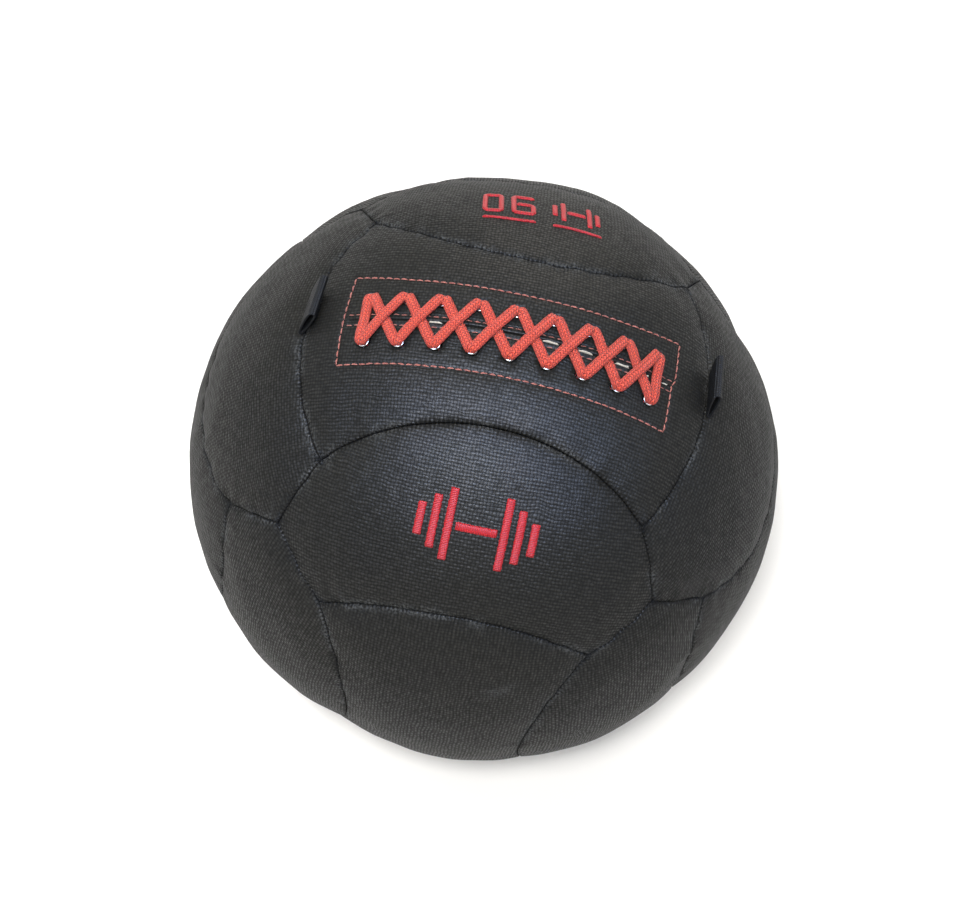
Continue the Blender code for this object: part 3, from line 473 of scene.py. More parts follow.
def ribbed_webbing():
    """Black polypropylene webbing, woven in ribs that gleam where the fold turns.

    Its real ribs are 1.3 mm apart, too fine to show, so they are drawn 2 mm apart.
    """
    material, tree, shader = new_material(
        "polypropylene_webbing", "1A1B1C", 0.55, Specular_IOR_Level=0.2
    )
    rib_pitch = 2.0 * MM
    place = add_node(tree, "UVMap", uv_map="cloth")
    turned = add_node(
        tree, "VectorMath", {0: place, "Scale": math.pi / rib_pitch}, operation="SCALE"
    )
    split = add_node(tree, "SeparateXYZ", (turned,))
    across = add_node(tree, "Math", (split.outputs["X"],), operation="SINE")
    ribs = add_node(tree, "Math", (across,), operation="ABSOLUTE")
    along = add_node(tree, "Math", (split.outputs["Y"], 1.6), operation="MULTIPLY")
    beat = add_node(tree, "Math", (along,), operation="SINE")
    picks = add_node(tree, "Math", (beat,), operation="ABSOLUTE")
    relief = add_node(tree, "Math", (ribs, picks), operation="MULTIPLY")
    bump = add_node(tree, "Bump", {"Height": relief, "Distance": 0.45 * MM})
    # Painted shade: darker between the ribs and picks, lighter on their tops
    shaded_yarn = add_node(tree, "ValToRGB", (relief,))
    set_stops(shaded_yarn, ("020202", "1A1B1B"), (0.25, 1.0))
    feed(tree, shader, {"Base Color": shaded_yarn, "Normal": bump})
    return material


def nickel_plate():
    """Pressed brass with bright nickel plate, a little dulled by handling."""
    material, tree, shader = new_material("nickel_plated_brass", "DEDEDA", 0.22, Metallic=1.0)
    place = add_node(tree, "TexCoord").outputs["Object"]
    smears = add_node(tree, "TexNoise", {"Vector": place, "Scale": 900.0, "Detail": 3.0})
    dulled = add_node(tree, "MapRange", (smears, 0.0, 1.0, 0.12, 0.34))
    feed(tree, shader, {"Roughness": dulled})
    return material


def loose_stuff(name, dark_code, light_code, grain, roughness):
    """What lies inside the ball: cloth, shreds or grains, by the size of their grain."""
    material, tree, shader = new_material(name, light_code, roughness)
    place = add_node(tree, "TexCoord").outputs["Object"]
    flecks = add_node(tree, "TexNoise", {"Vector": place, "Scale": 1 / grain, "Detail": 3.0})
    tint = add_node(tree, "ValToRGB", (flecks,))
    set_stops(tint, (dark_code, light_code), (0.35, 0.65))
    bump = add_node(tree, "Bump", {"Height": flecks, "Distance": grain / 3})
    feed(tree, shader, {"Base Color": tint, "Normal": bump})
    return material


# The ball's surface


def arc(start, middle, end, shares):
    """Directions along the seam from start through middle to end."""
    normal = unit(np.cross(middle - start, end - start))
    centre = normal * normal.dot(start)
    spoke = start - centre
    across = np.cross(normal, spoke)
    full = math.atan2((end - centre) @ across, (end - centre) @ spoke) % (2 * math.pi)
    turns = shares[:, None] * full
    return centre + spoke * np.cos(turns) + across * np.sin(turns)


def seam_circle(start, middle, end, inside):
    """The same seam as a normal, which faces out of a panel, and an angle."""
    normal = unit(np.cross(middle - start, end - start))
    distance = normal.dot(start)
    if normal.dot(inside) > distance:
        normal, distance = -normal, -distance
    return normal, math.asin(distance)


def corner(side, end):
    """A corner of the top centre panel."""
    return np.array((
        end * math.sin(CORNER_ANGLE) * math.cos(CORNER_AZIMUTH),
        side * math.sin(CORNER_ANGLE) * math.sin(CORNER_AZIMUTH),
        math.cos(CORNER_ANGLE),
    ))


def long_seam(side):
    """The long seam at one side of the top centre panel."""
    waist = np.array((0.0, side * math.sin(WAIST_ANGLE), math.cos(WAIST_ANGLE)))
    return corner(side, -1), waist, corner(side, 1)


def end_seam(end):
    """The seam at one end of the top centre panel, from front to rear."""
    middle = np.array((end * math.sin(END_SEAM_ANGLE), 0.0, math.cos(END_SEAM_ANGLE)))
    return corner(-1, end), middle, corner(1, end)


def lower_seam():
    """The seam between the top front panel and the front centre panel."""
    ends = [np.array((end * corner(1, 1)[1], -corner(1, 1)[2], corner(1, 1)[0]))
            for end in (-1, 1)]
    middle = np.array((0.0, -math.cos(END_SEAM_ANGLE), math.sin(END_SEAM_ANGLE)))
    return ends[0], middle, ends[1]


def side_end(end):
    """The two straight seams at one end of the top front panel, from below to above."""
    bottom = lower_seam()[0 if end < 0 else 2]
    tip = unit((end, -1.0, 1.0))
    top = corner(-1, end)
    return (bottom, unit(bottom + tip), tip), (tip, unit(tip + top), top)


class Shape:
    """The outline of one kind of panel: its seams, its edges and its middle."""

    def __init__(self, first, last, ends, middle):
        self.first = first
        self.last = last
        self.ends = ends
        self.middle = middle
        arcs = [first, last] + [piece for end in ends for piece in end]
        self.seams = [
            (*seam_circle(*points, middle), arc(*points, np.array([0.5]))[0]) for points in arcs
        ]

    def end_edge(self, pieces, shares):
        """Directions along an end, which is one seam or two."""
        if len(pieces) == 1:
            return arc(*pieces[0], shares)
        lower = arc(*pieces[0], np.clip(shares * 2, 0, 1))
        upper = arc(*pieces[1], np.clip(shares * 2 - 1, 0, 1))
        return np.where(shares[:, None] <= 0.5, lower, upper)

    def directions(self, u, v):
        """The directions at shares u and v of the panel, blended from its edges."""
        bottom, top = arc(*self.first, u), arc(*self.last, u)
        left, right = self.end_edge(self.ends[0], v), self.end_edge(self.ends[1], v)
        u, v = u[None, :, None], v[:, None, None]
        across = bottom[None] * (1 - v) + top[None] * v
        lengthways = left[:, None] * (1 - u) + right[:, None] * u
        low = bottom[0] * (1 - u) + bottom[-1] * u
        high = top[0] * (1 - u) + top[-1] * u
        return unit(across + lengthways - low * (1 - v) - high * v)


CENTRE_SHAPE = Shape(long_seam(-1), long_seam(1), [[end_seam(-1)], [end_seam(1)]], Z)
SIDE_MIDDLE = (WAIST_ANGLE + math.pi / 2 - END_SEAM_ANGLE) / 2
SIDE_SHAPE = Shape(
    lower_seam(), long_seam(-1), [side_end(-1), side_end(1)],
    np.array((0.0, -math.sin(SIDE_MIDDLE), math.cos(SIDE_MIDDLE))),
)


def ripples(points, sizes, count, seed):
    """Soft random ripples of a range of lengths, the same for every panel that meets there."""
    random = np.random.default_rng(seed)
    total = np.zeros(len(points))
    for _ in range(count):
        way = unit(random.normal(size=3))
        length = random.uniform(*sizes)
        total += np.sin(points @ way * (2 * math.pi / length) + random.uniform(0, 7))
    return total * math.sqrt(2 / count)


def slit_places(directions):
    """Lengths along and across the slit of directions in the top of the ball."""
    along = np.arctan2(directions[:, 0], directions[:, 2]) * RADIUS
    across = np.arcsin(np.clip(directions[:, 1], -1, 1)) * RADIUS
    return along, across


def slit_directions(along, across):
    """The directions at lengths along and across the slit."""
    along, across = np.asarray(along) / RADIUS, np.asarray(across) / RADIUS
    return np.stack((
        np.cos(across) * np.sin(along), np.sin(across), np.cos(across) * np.cos(along)
    ), axis=-1)


def distance_to_outline(along, across):
    """How far places are from the facing's outer row of stitches, and which are inside it."""
    nearest = np.full(len(along), 1.0)
    for start, end in zip(FACING_OUTLINE[:-1], FACING_OUTLINE[1:]):
        step = np.subtract(end, start)
        share = ((along - start[0]) * step[0] + (across - start[1]) * step[1]) / (step @ step)
        share = np.clip(share, 0, 1)
        gap = np.hypot(along - start[0] - share * step[0], across - start[1] - share * step[1])
        nearest = np.minimum(nearest, gap)
    inside = (np.abs(along) < FACING_FLAT[0]) & (np.abs(across) < FACING_FLAT[1])
    return nearest, inside


def eyelet_places():
    """Each eyelet's node, with where it is along and across the slit."""
    places = []
    for side, row in (("rear", 1), ("front", -1)):
        for number in range(1, EYELETS_PER_ROW + 1):
            places.append((f"eyelet_{side}_{number}", eyelet_along(number), row * ROW_TO_ROW / 2))
    return places


def eyelet_along(number):
    """How far along the slit an eyelet is from its middle."""
    return (number - (EYELETS_PER_ROW + 1) / 2) * EYELET_PITCH


def lacing_relief(directions):
    """How the sewn facing, the slit and the eyelets shape the lace panel."""
    along, across = slit_places(directions)
    outline, _ = distance_to_outline(along, across)
    level = -OUTLINE_GROOVE[0] * near_line(outline, OUTLINE_GROOVE[1])
    within = np.clip((SLIT_HALF - np.abs(along)) / SLIT_FADE, 0, 1)
    for row in (-SLIT_ROW, SLIT_ROW):
        level -= ROW_GROOVE[0] * near_line(across - row, ROW_GROOVE[1]) * within
    level += LIP_RISE[0] * near_line(np.abs(across) - LIP_OFFSET, LIP_RISE[1]) * within
    level -= SLIT_GAP[0] * near_line(across, SLIT_GAP[1]) * within
    for _, eyelet, row in eyelet_places():
        away = np.hypot(along - eyelet, across - row)
        level -= EYELET_DENT[0] * near_line(away, EYELET_DENT[1])
        level -= np.where(away < BORE_PIT[1], BORE_PIT[0], 0)
    return level


def drifted(directions):
    """Directions moved with the seams' corners, where they were sewn a little off."""
    moved = directions.copy()
    for place, move in DRIFTS:
        share = near_spot(directions, place, DRIFT_REACH)[:, None]
        moved += share * np.array(move) * (MM / RADIUS)
    return unit(moved)


def sunk(directions):
    """How far the filling has sunk below a true ball."""
    depth = np.zeros(len(directions))
    for place, millimetres in SUNK:
        depth += near_spot(directions, place, SUNK_REACH) * millimetres * MM
    return depth


def pressed(directions):
    """How far each webbing loop presses the cover down beside it, where it can lie back."""
    depth = np.zeros(len(directions))
    for joint in frame["joints"]:
        root = np.array(joint["pos_m"]) - CENTRE
        depth += near_spot(directions, root, LOOP_PRESS_REACH / RADIUS) * LOOP_PRESS
    return depth


class Panel:
    """One panel of the cover, and where its surface lies."""

    def __init__(self, name, shape, axis, along):
        self.name = name
        self.shape = shape
        self.turn = np.stack((along, np.cross(axis, along), axis), axis=1)
        self.middle = self.turn @ shape.middle
        self.east = self.turn[:, 0]
        self.north = np.cross(self.middle, self.east)

    def cloth_places(self, directions):
        """Lengths along and across the panel's own weave."""
        east = np.arctan2(directions @ self.east, directions @ self.middle)
        north = np.arcsin(np.clip(directions @ self.north, -1, 1))
        return np.stack((east, north), axis=-1) * RADIUS

    def from_seams(self, directions):
        """How far directions are from each seam, with the foot on it and the stitch there."""
        for normal, angle, halfway in self.shape.seams:
            normal, halfway = self.turn @ normal, self.turn @ halfway
            slope = directions @ normal
            distance = np.maximum(0, (angle - np.arcsin(np.clip(slope, -1, 1))) * RADIUS)
            spoke = unit(directions - slope[:, None] * normal)
            foot = (normal * math.sin(angle) + spoke * math.cos(angle)) * RADIUS
            first = unit(halfway - normal * (normal @ halfway))
            turned = np.arctan2(spoke @ np.cross(normal, first), spoke @ first)
            yield distance, foot, turned * RADIUS * math.cos(angle) / STITCH_PITCH

    def seam_places(self, directions):
        """The stitch that each direction is at along its nearest seam, and how far from it."""
        stitch = np.zeros(len(directions))
        nearest = np.full(len(directions), RADIUS)
        for distance, _, number in self.from_seams(directions):
            stitch = np.where(distance < nearest, number, stitch)
            nearest = np.minimum(distance, nearest)
        return np.stack((stitch, nearest), -1)

    def heights(self, directions):
        """How far the panel's surface is from the middle of the ball."""
        level = np.ones(len(directions))
        nearest = np.full(len(directions), RADIUS)
        drawn = np.zeros(len(directions))
        for distance, foot, _ in self.from_seams(directions):
            level *= 1 - np.clip(1 - distance / CROWN_REACH, 0, 1) ** CROWN_POWER
            nearest = np.minimum(nearest, distance)
            puckers = ripples(foot, PUCKER_SIZES, count=12, seed=4) * PUCKER
            drawn += puckers * np.exp(-distance / PUCKER_REACH)
        in_fold = np.clip(FOLD_RADIUS - nearest, 0, None)
        fold = FOLD_RADIUS - np.sqrt(FOLD_RADIUS ** 2 - in_fold ** 2)
        spots = directions * RADIUS
        lumps = ripples(spots, LUMP_SIZES, count=14, seed=1) * LUMP
        dents = ripples(spots, DENT_SIZES, count=24, seed=2) * DENT
        heights = RADIUS - SEAM_DEPTH * (1 - level) - fold + drawn - sunk(directions)
        heights -= pressed(directions)
        heights += (lumps + dents) * self.calm(directions)
        if self.name == "panel_top_lace":
            heights += lacing_relief(directions)
        return heights

    def calm(self, directions):
        """The sewn facing under the lacing keeps the lace panel from going lumpy."""
        if self.name != "panel_top_lace":
            return 1.0
        outline, inside = distance_to_outline(*slit_places(directions))
        return np.where(inside, 0, np.clip(outline / CALM_REACH, 0, 1))

    def points(self, directions, lift=0.0):
        """Points at a lift over the panel, which never go under the floor."""
        heights = self.heights(directions) + lift
        points = CENTRE + drifted(directions) * heights[:, None]
        points[:, 2] = np.maximum(points[:, 2], 0)
        return points


# Making meshes


def finish_piece(piece, material, body, nodes=()):
    """Shade the active piece, give it its material and body, and hide the nodes it replaces."""
    bpy.ops.object.shade_smooth()
    piece.data.materials.clear()
    piece.data.materials.append(material)
    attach(piece, body)
    if nodes:
        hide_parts(*nodes)
    bpy.ops.object.select_all(action="DESELECT")
    return piece


def points_of(piece):
    """A piece's points as rows of three numbers."""
    flat = np.zeros(len(piece.data.vertices) * 3)
    piece.data.vertices.foreach_get("co", flat)
    return flat.reshape(-1, 3)


def place_points(piece, points):
    """Move a piece's points."""
    piece.data.vertices.foreach_set("co", np.asarray(points, np.float64).ravel())
    piece.data.update()


def add_grid(name, columns, rows):
    """A flat grid as the active object. Returns it with its columns and rows."""
    bpy.ops.mesh.primitive_grid_add(x_subdivisions=columns, y_subdivisions=rows, size=2)
    piece = bpy.context.active_object
    piece.name = piece.data.name = name
    flat = points_of(piece)
    column = np.rint((flat[:, 0] + 1) / 2 * columns).astype(int)
    row = np.rint((flat[:, 1] + 1) / 2 * rows).astype(int)
    return piece, column, row


def place_cloth(piece, places, name="cloth"):
    """Write two lengths for each point to one of a piece's own UV maps."""
    layers = piece.data.uv_layers
    layer = layers.get(name) or layers.get("UVMap") or layers.new(name=name)
    layer.name = name
    corners = np.zeros(len(piece.data.loops), int)
    piece.data.loops.foreach_get("vertex_index", corners)
    layer.data.foreach_set("uv", np.asarray(places)[corners].ravel())


def place_shares(piece, name, shares):
    """Write one number for each point to a piece's attribute."""
    attribute = piece.data.attributes.new(name, "FLOAT", "POINT")
    attribute.data.foreach_set("value", np.asarray(shares, np.float32))


def close_seam(fill=True):
    """Merge the edges where the active sheet meets itself, fill its ends, and face it out."""
    bpy.ops.object.mode_set(mode="EDIT")
    bpy.ops.mesh.select_all(action="SELECT")
    bpy.ops.mesh.remove_doubles(threshold=0.01 * MM)
    if fill:
        bpy.ops.mesh.select_all(action="DESELECT")
        bpy.ops.mesh.select_mode(type="EDGE")
        bpy.ops.mesh.select_non_manifold()
        bpy.ops.mesh.edge_face_add()
        bpy.ops.mesh.select_all(action="SELECT")
    bpy.ops.mesh.normals_make_consistent(inside=False)
    bpy.ops.object.mode_set(mode="OBJECT")


def apply_wall(piece, thickness):
    """Give a sheet a wall, from its face inwards."""
    wall = piece.modifiers.new("wall", "SOLIDIFY")
    wall.thickness = thickness
    wall.offset = -1
    bpy.ops.object.modifier_apply(modifier=wall.name)


def closer_at(shares, amount, times=1):
    """Shares drawn together at both ends, or at the middle too."""
    turns = 2 * math.pi * times
    return shares - amount * np.sin(turns * shares) / turns


# The cover


def build_panel(panel, material):
    """One padded panel: a crowned sheet between its seams, then its thickness and back."""
    lacing = panel.name == "panel_top_lace"
    columns, rows = (220, 150) if panel.shape is CENTRE_SHAPE else (210, 100)
    if lacing:
        columns, rows = 280, 200
    piece, column, row = add_grid(panel.name.replace("panel", "padded"), columns, rows)
    u = closer_at(np.linspace(0, 1, columns + 1), 0.6)
    v = closer_at(np.linspace(0, 1, rows + 1), 0.6, 2 if lacing else 1)
    directions = panel.shape.directions(u, v)[row, column] @ panel.turn.T
    points = panel.points(directions)
    border = (column == 0) | (column == columns) | (row == 0) | (row == rows)
    depths = RADIUS - SEAM_DEPTH - SEAM_TUCK - sunk(directions)
    tucked = CENTRE + drifted(directions) * depths[:, None]
    points[border] = np.maximum(tucked, (-1, -1, 0.3 * MM))[border]
    place_points(piece, points)
    place_cloth(piece, panel.cloth_places(directions))
    seams = panel.seam_places(directions)
    place_cloth(piece, seams, "seam")
    place_shares(piece, "worn_and_lit", worn_and_lit_places(directions, seams[:, 1]))
    apply_wall(piece, PANEL_WALL)
    thin_the_back(piece)
    finish_piece(piece, material, "ball", [panel.name])


def worn_and_lit_places(directions, from_seam):
    """Grey on the coating: the seams' lips, worn and painted with a highlight, and one scuff."""
    spots = directions * RADIUS
    patchy = np.clip(0.5 + ripples(spots, WORN_LIT_LIP_SIZES, count=12, seed=9), 0, 1)
    # The lips are painted grey both as wear and as the highlight they catch
    lips = near_line(from_seam - WORN_LIT_LIP_WIDTH, 0.6 * WORN_LIT_LIP_WIDTH) * patchy * 0.6
    along = (spots - unit(SCUFF) * RADIUS) @ unit(SCUFF_WAY)
    aside = np.linalg.norm(
        spots - unit(SCUFF) * RADIUS - along[:, None] * unit(SCUFF_WAY), axis=1
    )
    scuff = near_line(along, SCUFF_SIZE[0]) * near_line(aside, SCUFF_SIZE[1])
    return np.clip(lips + scuff, 0, 1)


def thin_the_back(piece):
    """Leave few faces on the hidden side of a panel."""
    half = len(piece.data.vertices) // 2
    chosen = np.arange(len(piece.data.vertices)) >= half
    piece.data.vertices.foreach_set("select", chosen)
    bpy.ops.object.mode_set(mode="EDIT")
    bpy.ops.mesh.select_mode(type="VERT")
    bpy.ops.mesh.decimate(ratio=BACK_FACES_LEFT)
    bpy.ops.object.mode_set(mode="OBJECT")


# Thread


def along_path(path, distances):
    """Places and ways at distances along a path of points, each of two lengths."""
    path = np.asarray(path, float)
    steps = np.diff(path, axis=0)
    lengths = np.concatenate(((0,), np.cumsum(np.hypot(*steps.T))))
    places = np.stack([np.interp(distances, lengths, path[:, axis]) for axis in (0, 1)], -1)
    number = np.clip(np.searchsorted(lengths, distances, side="right") - 1, 0, len(steps) - 1)
    return places, unit(steps[number]), lengths[-1]


def sew_row(name, path, panel, length, width, thread):
    """One row of stitches along a path on the lace panel, from one stitch and its copies."""
    _, _, whole = along_path(path, np.zeros(1))
    count = round(whole / STITCH_STEP)
    pitch = whole / count
    bpy.ops.mesh.primitive_uv_sphere_add(
        segments=8, ring_count=6, radius=0.5, rotation=(0, math.pi / 2, 0)
    )
    piece = bpy.context.active_object
    piece.name = piece.data.name = name
    bpy.ops.object.transform_apply(rotation=True)
    piece.scale = (length, width, width)
    bpy.ops.object.transform_apply(scale=True)
    repeat = piece.modifiers.new("repeat", "ARRAY")
    repeat.count = count
    repeat.use_relative_offset = False
    repeat.use_constant_offset = True
    repeat.constant_offset_displace = (pitch, 0, 0)
    bpy.ops.object.modifier_apply(modifier=repeat.name)
    made = points_of(piece)
    number = np.clip(np.rint(made[:, 0] / pitch), 0, count - 1)
    within = made[:, 0] - number * pitch
    jitter = np.random.default_rng(5).normal(size=(count, 2))[number.astype(int)]
    places, ways, _ = along_path(path, (number + 0.5) * pitch)
    ways = unit(ways + jitter[:, :1] * STITCH_JITTER * leftwards(ways))
    aside = made[:, 1] + jitter[:, 1] * STITCH_JITTER * MM
    places += ways * within[:, None] + aside[:, None] * leftwards(ways)
    bow = 0.55 * width * (1 - (2 * within / length) ** 2)
    directions = slit_directions(places[:, 0], places[:, 1])
    place_points(piece, panel.points(directions, made[:, 2] + bow))
    place_cloth(piece, np.stack((made[:, 0] + made[:, 1], made[:, 2]), -1))
    return finish_piece(piece, thread, "ball")


def build_stitching(panel):
    """The rows that hold the facing: one round it, and one at each side of the slit."""
    thread = satin_thread("spun_polyester_thread", "BE8078", "7C2E2C", 0.7 * MM)
    sew_row("facing_stitches", FACING_OUTLINE, panel, *FACING_STITCH, thread)
    for name, side in (("slit_stitches_front", -1), ("slit_stitches_rear", 1)):
        row = [(-SLIT_HALF, side * SLIT_ROW), (SLIT_HALF, side * SLIT_ROW)]
        sew_row(name, row, panel, *SLIT_STITCH, thread)


def rounded_path(points, steps=16):
    """A smooth path through points: rows of two or three lengths, and what changes there."""
    points = np.asarray(points, float)
    spans = np.linalg.norm(np.diff(points[:, :3], axis=0), axis=1)
    times = np.concatenate(((0,), np.cumsum(spans)))
    slopes = np.gradient(points, times, axis=0)
    rows = []
    for index, span in enumerate(spans):
        t = np.arange(steps)[:, None] / steps
        rows.append(
            (2 * t ** 3 - 3 * t ** 2 + 1) * points[index]
            + (t ** 3 - 2 * t ** 2 + t) * span * slopes[index]
            + (3 * t ** 2 - 2 * t ** 3) * points[index + 1]
            + (t ** 3 - t ** 2) * span * slopes[index + 1]
        )
    return np.concatenate(rows + [points[-1:]])


def satin_stroke(path, width, middle, turn, panel):
    """A raised bar of satin stitches along a path, laid on a panel round a place on it."""
    _, _, whole = along_path(path, np.zeros(1))
    columns = max(10, round(whole / SATIN_STEP))
    rows = 12
    piece, column, row = add_grid("satin", columns, rows)
    shares = column / columns
    places, ways, _ = along_path(path, shares * whole)
    side = row / rows * 2 - 1
    spots = np.stack((shares * whole, side, side), -1)
    ragged = ripples(spots, (MM, 3 * MM), count=6, seed=3) * RAGGED_EDGE
    reach = (width / 2 + ragged) * side
    places += reach[:, None] * leftwards(ways)
    east = unit(np.cross((0.0, 1.0, 0.0), middle))
    across = east * math.cos(turn) + np.cross(middle, east) * math.sin(turn)
    up = np.cross(middle, across)
    directions = unit(middle * RADIUS + places[:, :1] * across + places[:, 1:] * up)
    from_end = np.minimum(shares, 1 - shares) * whole
    ends = np.sqrt(np.clip(from_end / ROUNDED_END, 0, 1))
    if np.allclose(path[0], path[-1]):
        ends = 1
    plump = np.sqrt(1 - np.abs(side) ** 3) * (0.25 + 0.75 * ends)
    lift = SATIN_HEIGHT * (1.5 * plump - 0.5)
    place_points(piece, panel.points(directions, lift))
    place_cloth(piece, np.stack((shares * whole, reach), -1))
    apply_wall(piece, SATIN_WALL)
    return piece


def embroider(name, strokes, middle, turn, panel, thread):
    """A marking in satin stitch, from strokes that are each a path and a width."""
    pieces = []
    for path, width in strokes:
        path = np.asarray(path, float) * MM
        pieces.append(satin_stroke(path, width * MM, unit(middle), turn, panel))
    bpy.ops.object.select_all(action="DESELECT")
    for piece in pieces:
        piece.select_set(True)
    bpy.context.view_layer.objects.active = pieces[0]
    bpy.ops.object.join()
    pieces[0].name = pieces[0].data.name = name
    return finish_piece(pieces[0], thread, "ball")


def box_path(middle, width, height, corner_cut):
    """A closed path round a box with cut corners."""
    x, y = width / 2, height / 2
    cut = corner_cut
    corners = [
        (-x, 0), (-x, y - cut), (cut - x, y), (x - cut, y), (x, y - cut),
        (x, cut - y), (x - cut, -y), (cut - x, -y), (-x, cut - y), (-x, 0),
    ]
    return [(middle[0] + across, middle[1] + up) for across, up in corners]


def build_markings(front, rear):
    """Plain embroidery: a dumbbell below the lacing, and the number of kilograms above it."""
    thread = satin_thread("satin_stitched_rayon", "B41D24", "7C1822", 0.9 * MM)
    dumbbell = [([(-11.0, 0), (11.0, 0)], 4.8)]
    for side in (-1, 1):
        for across, height in ((14.6, 39), (22.2, 29), (29.8, 18)):
            bar = [(side * across, -height / 2), (side * across, height / 2)]
            dumbbell.append((bar, 4.8))
    embroider("embroidered_dumbbell", dumbbell, (0.007, -0.563, 0.827), 0.0, front, thread)
    six = [
        (-4.5, 20.5), (-5.5, 22.0), (-14.0, 22.0), (-15.5, 20.5), (-15.5, 3.0), (-14.0, 1.5),
        (-6.0, 1.5), (-4.5, 3.0), (-4.5, 10.5), (-6.0, 12.0), (-14.0, 12.0),
    ]
    number = [(box_path((-27.0, 11.7), 9.0, 20.5, 1.5), 3.2), (six, 3.2)]
    number.append(([(14.5, 11.7), (25.5, 11.7)], 3.2))
    for side in (-1, 1):
        for across, height in ((7.5, 22.0), (12.3, 13.0)):
            place = 20.0 + side * across
            bar = [(place, 11.7 - height / 2), (place, 11.7 + height / 2)]
            number.append((bar, 3.2))
    number += [([(-33.0, -6.5), (-3.0, -6.5)], 1.8), ([(6.0, -6.5), (34.0, -6.5)], 1.8)]
    embroider(
        "embroidered_number", number, (0.015, 0.494, 0.869), math.radians(5), rear, thread
    )


# Lacing


def build_eyelets(metal):
    """One rolled eyelet with its barrel, and a copy of it in every hole."""
    ring_radius, wire = EYELET_WIRE
    bpy.ops.mesh.primitive_torus_add(
        major_radius=ring_radius, minor_radius=wire, major_segments=40, minor_segments=12
    )
    first = bpy.context.active_object
    made = points_of(first)
    inner = np.hypot(made[:, 0], made[:, 1]) < ring_radius - 0.3 * wire
    bpy.ops.object.mode_set(mode="EDIT")
    bpy.ops.mesh.select_mode(type="VERT")
    bpy.ops.mesh.select_all(action="DESELECT")
    bpy.ops.object.mode_set(mode="OBJECT")
    first.data.vertices.foreach_set("select", inner & (made[:, 2] < -0.3 * wire))
    bpy.ops.object.mode_set(mode="EDIT")
    bpy.ops.transform.translate(value=(0, 0, -EYELET_BARREL))
    bpy.ops.object.mode_set(mode="OBJECT")
    for name, along, across in eyelet_places():
        bpy.ops.object.select_all(action="DESELECT")
        first.select_set(True)
        bpy.context.view_layer.objects.active = first
        bpy.ops.object.duplicate(linked=False)
        ring = bpy.context.active_object
        ring.name = ring.data.name = name.replace("eyelet", "rolled_eyelet")
        up = Vector(slit_directions(along, across))
        turn = up.to_track_quat("Z", "Y").to_matrix().to_4x4()
        place = Vector(CENTRE) + up * (RADIUS + 0.1 * MM)
        ring.data.transform(Matrix.Translation(place) @ turn)
        finish_piece(ring, metal, "ball", [name])
    bpy.data.objects.remove(first)


def lace_end(number, side, row, turn, way, over):
    """The lace turning up out of an eyelet and over towards the slit, from its outer side."""
    along = eyelet_along(number) + side * STRAND_OFFSET
    across = ROW_TO_ROW / 2
    places = []
    for out, height, turned, width, plump in (
        (-1.0, -5.6, 0, LACE_IN_BORE, 0.9), (0.5, -3.6, 0, LACE_IN_BORE, 1.0),
        (1.0, -1.2, 0.2, LACE_IN_BORE, 1.0), (1.35, 0.7, 0.7, 0.82 * LACE_WIDTH, 1.05),
        (0.3, 2.1, 1, 0.96 * LACE_WIDTH, 1.0), (-2.4, 2.6, 1, LACE_WIDTH, 1.0),
    ):
        place = along + way * (0.3 - out) * MM * (height > 0)
        lift = height * MM + over * (height > 0)
        places.append((place, row * (across + out * MM), lift, turn * turned, width, plump))
    return places


def strand(start, end, crossing):
    """A strand over the slit, from a rear eyelet to a front one, each with its side."""
    reach = ROW_TO_ROW / 2
    start_along = eyelet_along(start[0]) + start[1] * STRAND_OFFSET
    end_along = eyelet_along(end[0]) + end[1] * STRAND_OFFSET
    way = (end_along - start_along) / (2 * reach)
    turn = math.atan(way)
    over = OVER_AT_EYELET if crossing > LOW_CROSSING else 0
    level = LACE_LEVEL + over
    places = lace_end(*start, 1, turn, way, over)
    for share, rise in ((0.30, 0.45), (0.5, 1.0), (0.70, 0.45)):
        height = level + (crossing - level) * rise
        along = start_along + (end_along - start_along) * share
        places.append((along, reach * (1 - 2 * share), height, turn, LACE_WIDTH, 0.97))
    return places + lace_end(*end, -1, turn, -way, over)[::-1]


def hidden_end(number, row, side):
    """A knotted end of the lace, left inside the ball."""
    along = eyelet_along(number) + side * STRAND_OFFSET
    inner = ROW_TO_ROW / 2 - KNOT_INSET
    return [
        (along, row * (inner - 3.0 * MM), UNDER_PANEL, 0, 2.6 * MM, 0.8),
        (along, row * (inner - 1.5 * MM), UNDER_PANEL, 0, 5.6 * MM, 1.6),
        (along, row * inner, UNDER_PANEL, 0, 2.6 * MM, 0.9),
    ]


def lace_route():
    """The whole lace: along the slit and back again, so that two strands share each eyelet."""
    last = EYELETS_PER_ROW
    route = hidden_end(1, 1, 1)
    for number in range(1, last):
        route += strand((number, 1), (number + 1, -1), LOW_CROSSING)
    route += strand((last, 1), (last, 1), LOW_CROSSING)
    for number in range(last, 1, -1):
        route += strand((number, -1), (number - 1, 1), HIGH_CROSSING)
    route += strand((1, -1), (1, -1), LOW_CROSSING)
    return route + hidden_end(1, -1, -1)[::-1]


